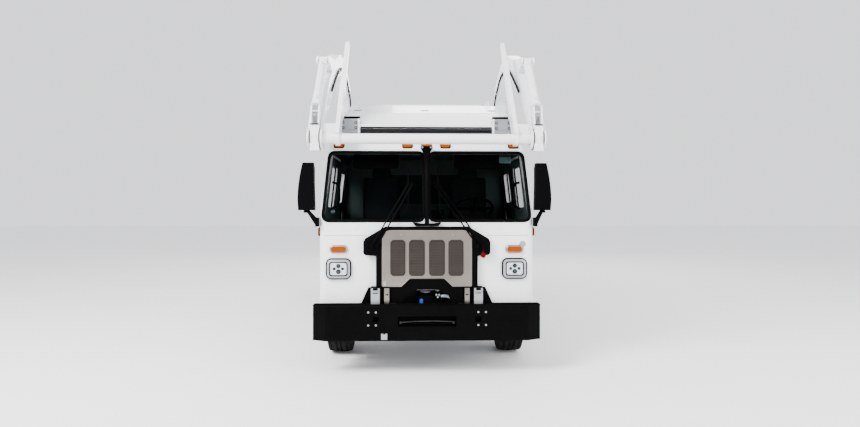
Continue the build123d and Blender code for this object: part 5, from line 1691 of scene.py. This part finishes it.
@dataclass
class Wheels(Fittings):
    """Treaded tyres in place of the plain ones, with wheel nuts and hub caps."""

    radius: float = 0.530
    rim: float = 0.286
    front_width: float = 0.312
    rear_width: float = 0.279
    front_station: float = 1.250
    rear_stations: tuple[float, ...] = (5.790, 7.110)
    front_x: float = 1.050
    twin_x: float = 0.925
    twin_spacing: float = 0.330
    steps: int = 180
    groove: float = 0.013
    camber: float = 0.014  # how much lower the tread is at its edges
    nuts: int = 10
    nut: float = 0.0155  # half a nut's width

    def build(self) -> None:
        """Builds every piece."""
        for side, name in ((1, "left"), (-1, "right")):
            tyre = Shape()
            self._tyre(tyre, side * self.front_x, self.front_station, self.front_width, Tread.STEER)
            body = f"front_wheel_{name}"
            self.add(f"steer_tyre_{name}", tyre, Look.TYRE, body, [f"front_tyre_{name}"], 28.0)
            self._hub(side, name, self.front_station, body, self.front_x + 0.122, 0.098)
            for row, station in zip(("middle", "rear"), self.rear_stations):
                tyre = Shape()
                for offset in (-self.twin_spacing / 2, self.twin_spacing / 2):
                    self._tyre(tyre, side * (self.twin_x + offset), station, self.rear_width, Tread.DRIVE)
                body = f"{row}_wheels_{name}"
                self.add(f"{row}_drive_tyres_{name}", tyre, Look.TYRE, body, [f"{row}_tyres_{name}"], 28.0)
                self._hub(side, f"{row}_{name}", station, body, self.twin_x + 0.130, 0.100)

    def _tyre(self, shape: Shape, x: float, station: float, width: float, tread: Tread) -> None:
        """One tyre: a ring of rows from bead to bead, its tread columns sunk where a groove runs.

        Args:
            shape: gathers the faces.
            x: middle of the tyre.
            station: of its axle.
            width: of the tyre.
            tread: its pattern.
        """
        half, crown = width / 2, self.radius
        wall = (
            # share of the half width, radius
            (0.795, self.rim), (0.90, self.rim + 0.012), (0.97, self.rim + 0.05), (0.992, self.rim + 0.056),
            (0.994, self.rim + 0.105), (0.975, self.rim + 0.109), (0.96, self.rim + 0.155),
            (0.905, crown - 0.042),
        )
        columns = [(s, r, 0.0) for s, r in wall]
        face = (
            # share of the half width, kind of groove: 1 runs round the tyre, less than 1 across it
            (0.86, 0.3), (0.66, 0.3), (0.62, 1.0), (0.56, 1.0), (0.52, 0.3), (0.24, 0.3), (0.20, 1.0),
            (0.13, 1.0), (0.09, 0.2),
        )
        for share, deep in face:
            columns.append((share, crown - self.camber * share ** 2, deep))
        columns += [(-s, r, d) for s, r, d in reversed(columns)]
        count = len(columns)
        rows = []
        for i in range(self.steps):
            angle = 2 * math.pi * i / self.steps
            ring = []
            for share, radius, deep in columns:
                sunk = self.groove if deep == 1.0 else 0.0
                if 0 < deep < 1 and tread is Tread.DRIVE:
                    sunk = self.groove * 0.9 if (i + (2 if share > 0 else 0)) % 4 == 0 else 0.0
                elif deep == 0.3 and abs(share) > 0.6:
                    sunk = self.groove * 0.55 if i % 3 == 0 else 0.0
                ring.append(shape.mesh.verts.new((
                    x + share * half, st(station) + (radius - sunk) * math.cos(angle),
                    self.radius + (radius - sunk) * math.sin(angle),
                )))
            rows.append(ring)
        for i in range(self.steps):
            low, high = rows[i], rows[(i + 1) % self.steps]
            for k in range(count):
                n = (k + 1) % count
                shape.mesh.faces.new((low[k], low[n], high[n], high[k]))

    def _hub(self, side: int, name: str, station: float, body: str, face: float, reach: float) -> None:
        """Wheel nuts and cap of one wheel.

        Args:
            side: 1 on the left, -1 on the right.
            name: the wheel's name.
            station: of its axle.
            body: what it rides on.
            face: the hub's face, from the truck's middle.
            reach: radius of the nut circle.
        """
        centre = (side * face, st(station), self.radius)
        base = plane_at(centre, (0, side, 0), (side, 0, 0))
        nuts, cap = Shape(), Shape()
        for x, y in circle(reach, self.nuts):
            nuts.bolt(base @ Vector((x, y, 0.0)), (side, 0, 0), self.nut)
        self.add(f"wheel_nuts_{name}", nuts, Look.ZINC, body)
        top = 0.030 if reach < 0.099 else 0.062
        profile = [(0.066, -0.012), (0.070, 0.0), (0.060, 0.010), (0.030, 0.015), (0.010, 0.016)]
        cap.turned([(radius, top + height) for radius, height in profile], base, 32)
        self.add(f"hub_cap_{name}", cap, Look.CHROME, body)


# ---------------------------------------------------------------- inside and below
@dataclass
class Interior(Fittings):
    """Instrument hood and trays, seat pads, belts, headlining and the dark trim of the cab."""

    seats: tuple[float, ...] = (0.560, -0.560)

    def build(self) -> None:
        """Builds every piece."""
        hood = Shape()
        base = plane_at((0.560, st(0.43), 1.655), (1, 0, 0), (0, 0.35, 1))
        hood.block((-0.22, -0.05, -0.02), (0.22, 0.05, 0.075), 0.02, base)
        hood.block((-0.56 - 0.02, -0.04, -0.015), (-0.36, 0.02, 0.13), 0.012, base)
        hood.block((-1.38, -0.04, -0.02), (-0.95, 0.04, 0.03), 0.015, base)
        self.add("instrument_hood", hood, Look.PLASTIC)
        pads = Shape()
        for x in self.seats:
            back = plane_at((x, st(1.345), 1.90), (1, 0, 0), (0, -1, 0.15))
            pads.prism(rectangle(0.40, 0.48, 0.07), back, 0.0, 0.050, 0.02)
            pads.prism(rectangle(0.24, 0.16, 0.06, (0, 0.365)), back, -0.10, -0.02, 0.02)
            cushion = plane_at((x, st(1.12), 1.622), (1, 0, 0), UP)
            pads.prism(rectangle(0.42, 0.40, 0.06), cushion, -0.01, 0.045, 0.02)
        self.add("seat_pads", pads, Look.FABRIC_AND_GLASS_HAZE)
        belts = Shape()
        for x in self.seats:
            side = 1 if x > 0 else -1
            belts.slab(side, (1.035, 1.055), (1.52, 1.57), (1.30, 2.30), 0.003)
        self.add("seat_belts", belts, Look.PLASTIC)
        section = [(-1.050, 2.405), (-1.000, 2.478), (1.000, 2.478), (1.050, 2.405),
                   (1.043, 2.405), (0.994, 2.470), (-0.994, 2.470), (-1.043, 2.405)]
        lining = Shape().prism(section, plane_at((0, st(0.405), 0), (-1, 0, 0), (0, 1, 0)), 0.0, 1.36)
        self.add("headlining", lining, Look.LINING_AND_GLASS_HAZE)
        self._linings()

    def _linings(self) -> None:
        """Dark trim on the rear wall and floor and round the side windows, and a solid dark sheet behind the
        rear window that stands for its guard and paints the shade seen through the glass.
        """
        trim = Shape()
        rear = plane_at((0, st(1.772), 0))
        corners = [(-1.134, 1.235), (1.134, 1.235), (1.134, 1.64), (1.036, 2.474),
                   (-1.036, 2.474), (-1.134, 1.64)]
        wall = rounded(corners, 0.03)
        trim.sheet(wall, [rectangle(1.24, 0.39, 0.05, (0, 2.065))], rear, 0.0, 0.004)
        trim.block((-1.09, st(0.24), 1.2305), (1.09, st(1.76), 1.236))
        self.add("cab_trim", trim, Look.LINING_AND_GLASS_HAZE)
        guard = plane_at((0, st(1.832), 0))
        # a solid dark sheet for the rear window's guard: painted shade of the gap between cab and hopper,
        # seen through the rear window
        guard_shade = Shape().prism(rectangle(1.36, 0.52, 0.03, (0, 2.065)), guard, -0.002, 0.0)
        self.add("rear_window_guard_shade", guard_shade, Look.LINING_AND_GLASS_HAZE)
        for side, name in ((1, "left"), (-1, "right")):
            foot = (side * (CabSkin.half - 0.048), st(0), CabSkin.belt)
            wall = plane_at(foot, (0, side, 0), (side * 0.825, 0, 0.095))
            quarter, door = Shape(), Shape()
            quarter.frame(
                rectangle(0.68, 0.80, 0.03, (side * 1.430, 0.40)),
                rectangle(0.42, 0.37, 0.06, (side * 1.435, 0.430)), wall, -0.004, 0.0,
            )
            pillar = [(0.232, 0.0), (0.383, 0.0), (0.383, 0.79), (0.376, 0.79)]
            quarter.prism([(side * x, y) for x, y in pillar], wall, -0.004, 0.0)
            door.frame(
                rectangle(0.70, 0.72, 0.06, (side * 0.735, 0.38)),
                rectangle(0.47, 0.475, 0.06, (side * 0.635, 0.412)), wall, -0.004, 0.0,
            )
            self.add(f"quarter_trim_{name}", quarter, Look.LINING_AND_GLASS_HAZE)
            self.add(f"door_trim_{name}", door, Look.LINING_AND_GLASS_HAZE, f"door_{name}")


@dataclass
class Underneath(Fittings):
    """Air tanks, brake chambers, air lines, tank bands and step grips."""

    tank_height: float = 0.63
    step_heights: tuple[float, ...] = (0.452, 0.632, 0.812, 0.992)
    treads: int = 6

    def build(self) -> None:
        """Builds every piece."""
        tanks, straps = Shape(), Shape()
        for station, side in ((2.75, 1), (2.75, -1), (5.05, 1)):
            x = side * 0.24
            tanks.turned(
                [(0.02, 0.0), (0.085, 0.018), (0.112, 0.055), (0.112, 0.50), (0.085, 0.537), (0.02, 0.555)],
                plane_at((x, st(station), self.tank_height), (1, 0, 0), (0, 1, 0)), 28,
            )
            for along in (0.13, 0.42):
                ring = [(rx, st(station + along), rz) for rx, rz in circle(0.1155, 30, (x, self.tank_height))]
                straps.tube(ring, 0.004, 6)
                low, high = st(station + along - 0.015), st(station + along + 0.015)
                straps.block((x - 0.02, low, 0.74), (x + 0.02, high, 0.79))
        self.add("air_tanks", tanks, Look.CHASSIS)
        self.add("air_tank_straps", straps, Look.ZINC)
        chambers = Shape()
        for station in Wheels.rear_stations:
            for side in (-1, 1):
                base = plane_at((side * 0.42, st(station + 0.16), 0.40), (1, 0, 0), (0, 1, 0))
                chambers.turned([(0.03, 0.0), (0.082, 0.015), (0.085, 0.07), (0.094, 0.078), (0.094, 0.090),
                                 (0.085, 0.098), (0.078, 0.17), (0.03, 0.19)], base, 24)
        self.add("brake_chambers", chambers, Look.CAST)
        lines = Shape()
        for side in (-1, 1):
            for z in (0.93, 0.955):
                lines.tube([(side * 0.418, st(station), z) for station in (1.9, 5.3, 8.8)], 0.007, 8)
        self.add("air_lines", lines, Look.PLASTIC)
        bands = Shape()
        for side, end in ((1, 4.95), (-1, 4.70)):
            for station in (3.80, end - 0.22):
                ends = (station, station + 0.045)
                bands.slab(side, (0.495, 1.1145), ends, (1.0095, 1.013))
                bands.slab(side, (1.1115, 1.1145), ends, (0.60, 1.013))
        self.add("tank_bands", bands, Look.STAINLESS)
        treads = Shape()
        for side in (-1, 1):
            for height in self.step_heights:
                for i in range(self.treads):
                    ends = (0.385 + i * 0.036, 0.397 + i * 0.036)
                    treads.slab(side, (0.975, 1.122), ends, (height, height + 0.004))
        self.add("step_grips", treads, Look.ZINC)


# ---------------------------------------------------------------- studio
@dataclass(frozen=True)
class Studio:
    """Camera, pale floor and soft light."""

    camera_place: Point = (-0.15, st(0) - 6.43, 1.77)
    yaw: float = -1.6  # degrees, anticlockwise from above
    lens: float = 25.16
    sensor: float = 36.0
    drop: float = -0.0029  # of the picture's width
    floor: float = 60.0  # from the middle to each edge
    sky: Colour = (0.95, 0.97, 1.0)
    sky_strength: float = 1.55

    def build(self) -> None:
        """Builds the whole studio."""
        self._camera()
        self._floor()
        self._lights()

    def _camera(self) -> None:
        """The camera at the low front view."""
        data = bpy.data.cameras.new("camera")
        data.lens = self.lens
        data.sensor_width = self.sensor
        data.shift_y = self.drop
        camera = bpy.data.objects.new("camera", data)
        camera.location = self.camera_place
        camera.rotation_euler = (math.radians(90), 0, math.radians(self.yaw))
        bpy.context.scene.collection.objects.link(camera)
        bpy.context.scene.camera = camera

    def _floor(self) -> None:
        """A wide pale floor."""
        mesh = bpy.data.meshes.new("floor")
        size = self.floor
        corners = [(-size, -size, 0), (size, -size, 0), (size, size, 0), (-size, size, 0)]
        mesh.from_pydata(corners, [], [(0, 1, 2, 3)])
        floor = bpy.data.objects.new("floor", mesh)
        bpy.context.scene.collection.objects.link(floor)
        floor_finish = Finish("studio_floor", (0.92, 0.92, 0.92), 0.8, tone=0.01, grime=0.0, grain=0.0)
        mesh.materials.append(floor_finish.build())

    def _lights(self) -> None:
        """Three soft area lights and a pale sky."""
        world = bpy.data.worlds.new("sky")
        world.use_nodes = True
        background = world.node_tree.nodes["Background"]
        background.inputs["Color"].default_value = rgba(self.sky)
        background.inputs["Strength"].default_value = self.sky_strength
        bpy.context.scene.world = world
        # name, place, size, power
        table = (
            ("key", (-7.0, st(0) - 6.0, 9.0), 5.0, 3300.0),
            ("fill", (8.0, st(0) - 5.0, 5.0), 8.0, 1100.0),
            ("back", (2.0, st(9.3) + 6.0, 9.0), 6.0, 800.0),
        )
        for name, place, size, power in table:
            light = bpy.data.lights.new(name, "AREA")
            light.size = size
            light.energy = power
            lamp = bpy.data.objects.new(name, light)
            lamp.location = place
            aim = Vector((0, st(2.0), 1.5)) - lamp.location
            lamp.rotation_euler = aim.to_track_quat("-Z", "Y").to_euler()
            bpy.context.scene.collection.objects.link(lamp)


ASSEMBLIES = (
    Windscreen, Grille, Lamps, Bumper, UnderGrille, CabSkin, Mirrors, Loader, Canopy, Packer, Wheels,
    Interior, Underneath,
)


def main() -> None:
    """Builds and dresses the truck, then the studio."""
    dress_solids()
    for part in ASSEMBLIES:
        LOG.info("building %s", part.__name__)
        part().build()
    Studio().build()


if __name__ == "__main__":
    main()
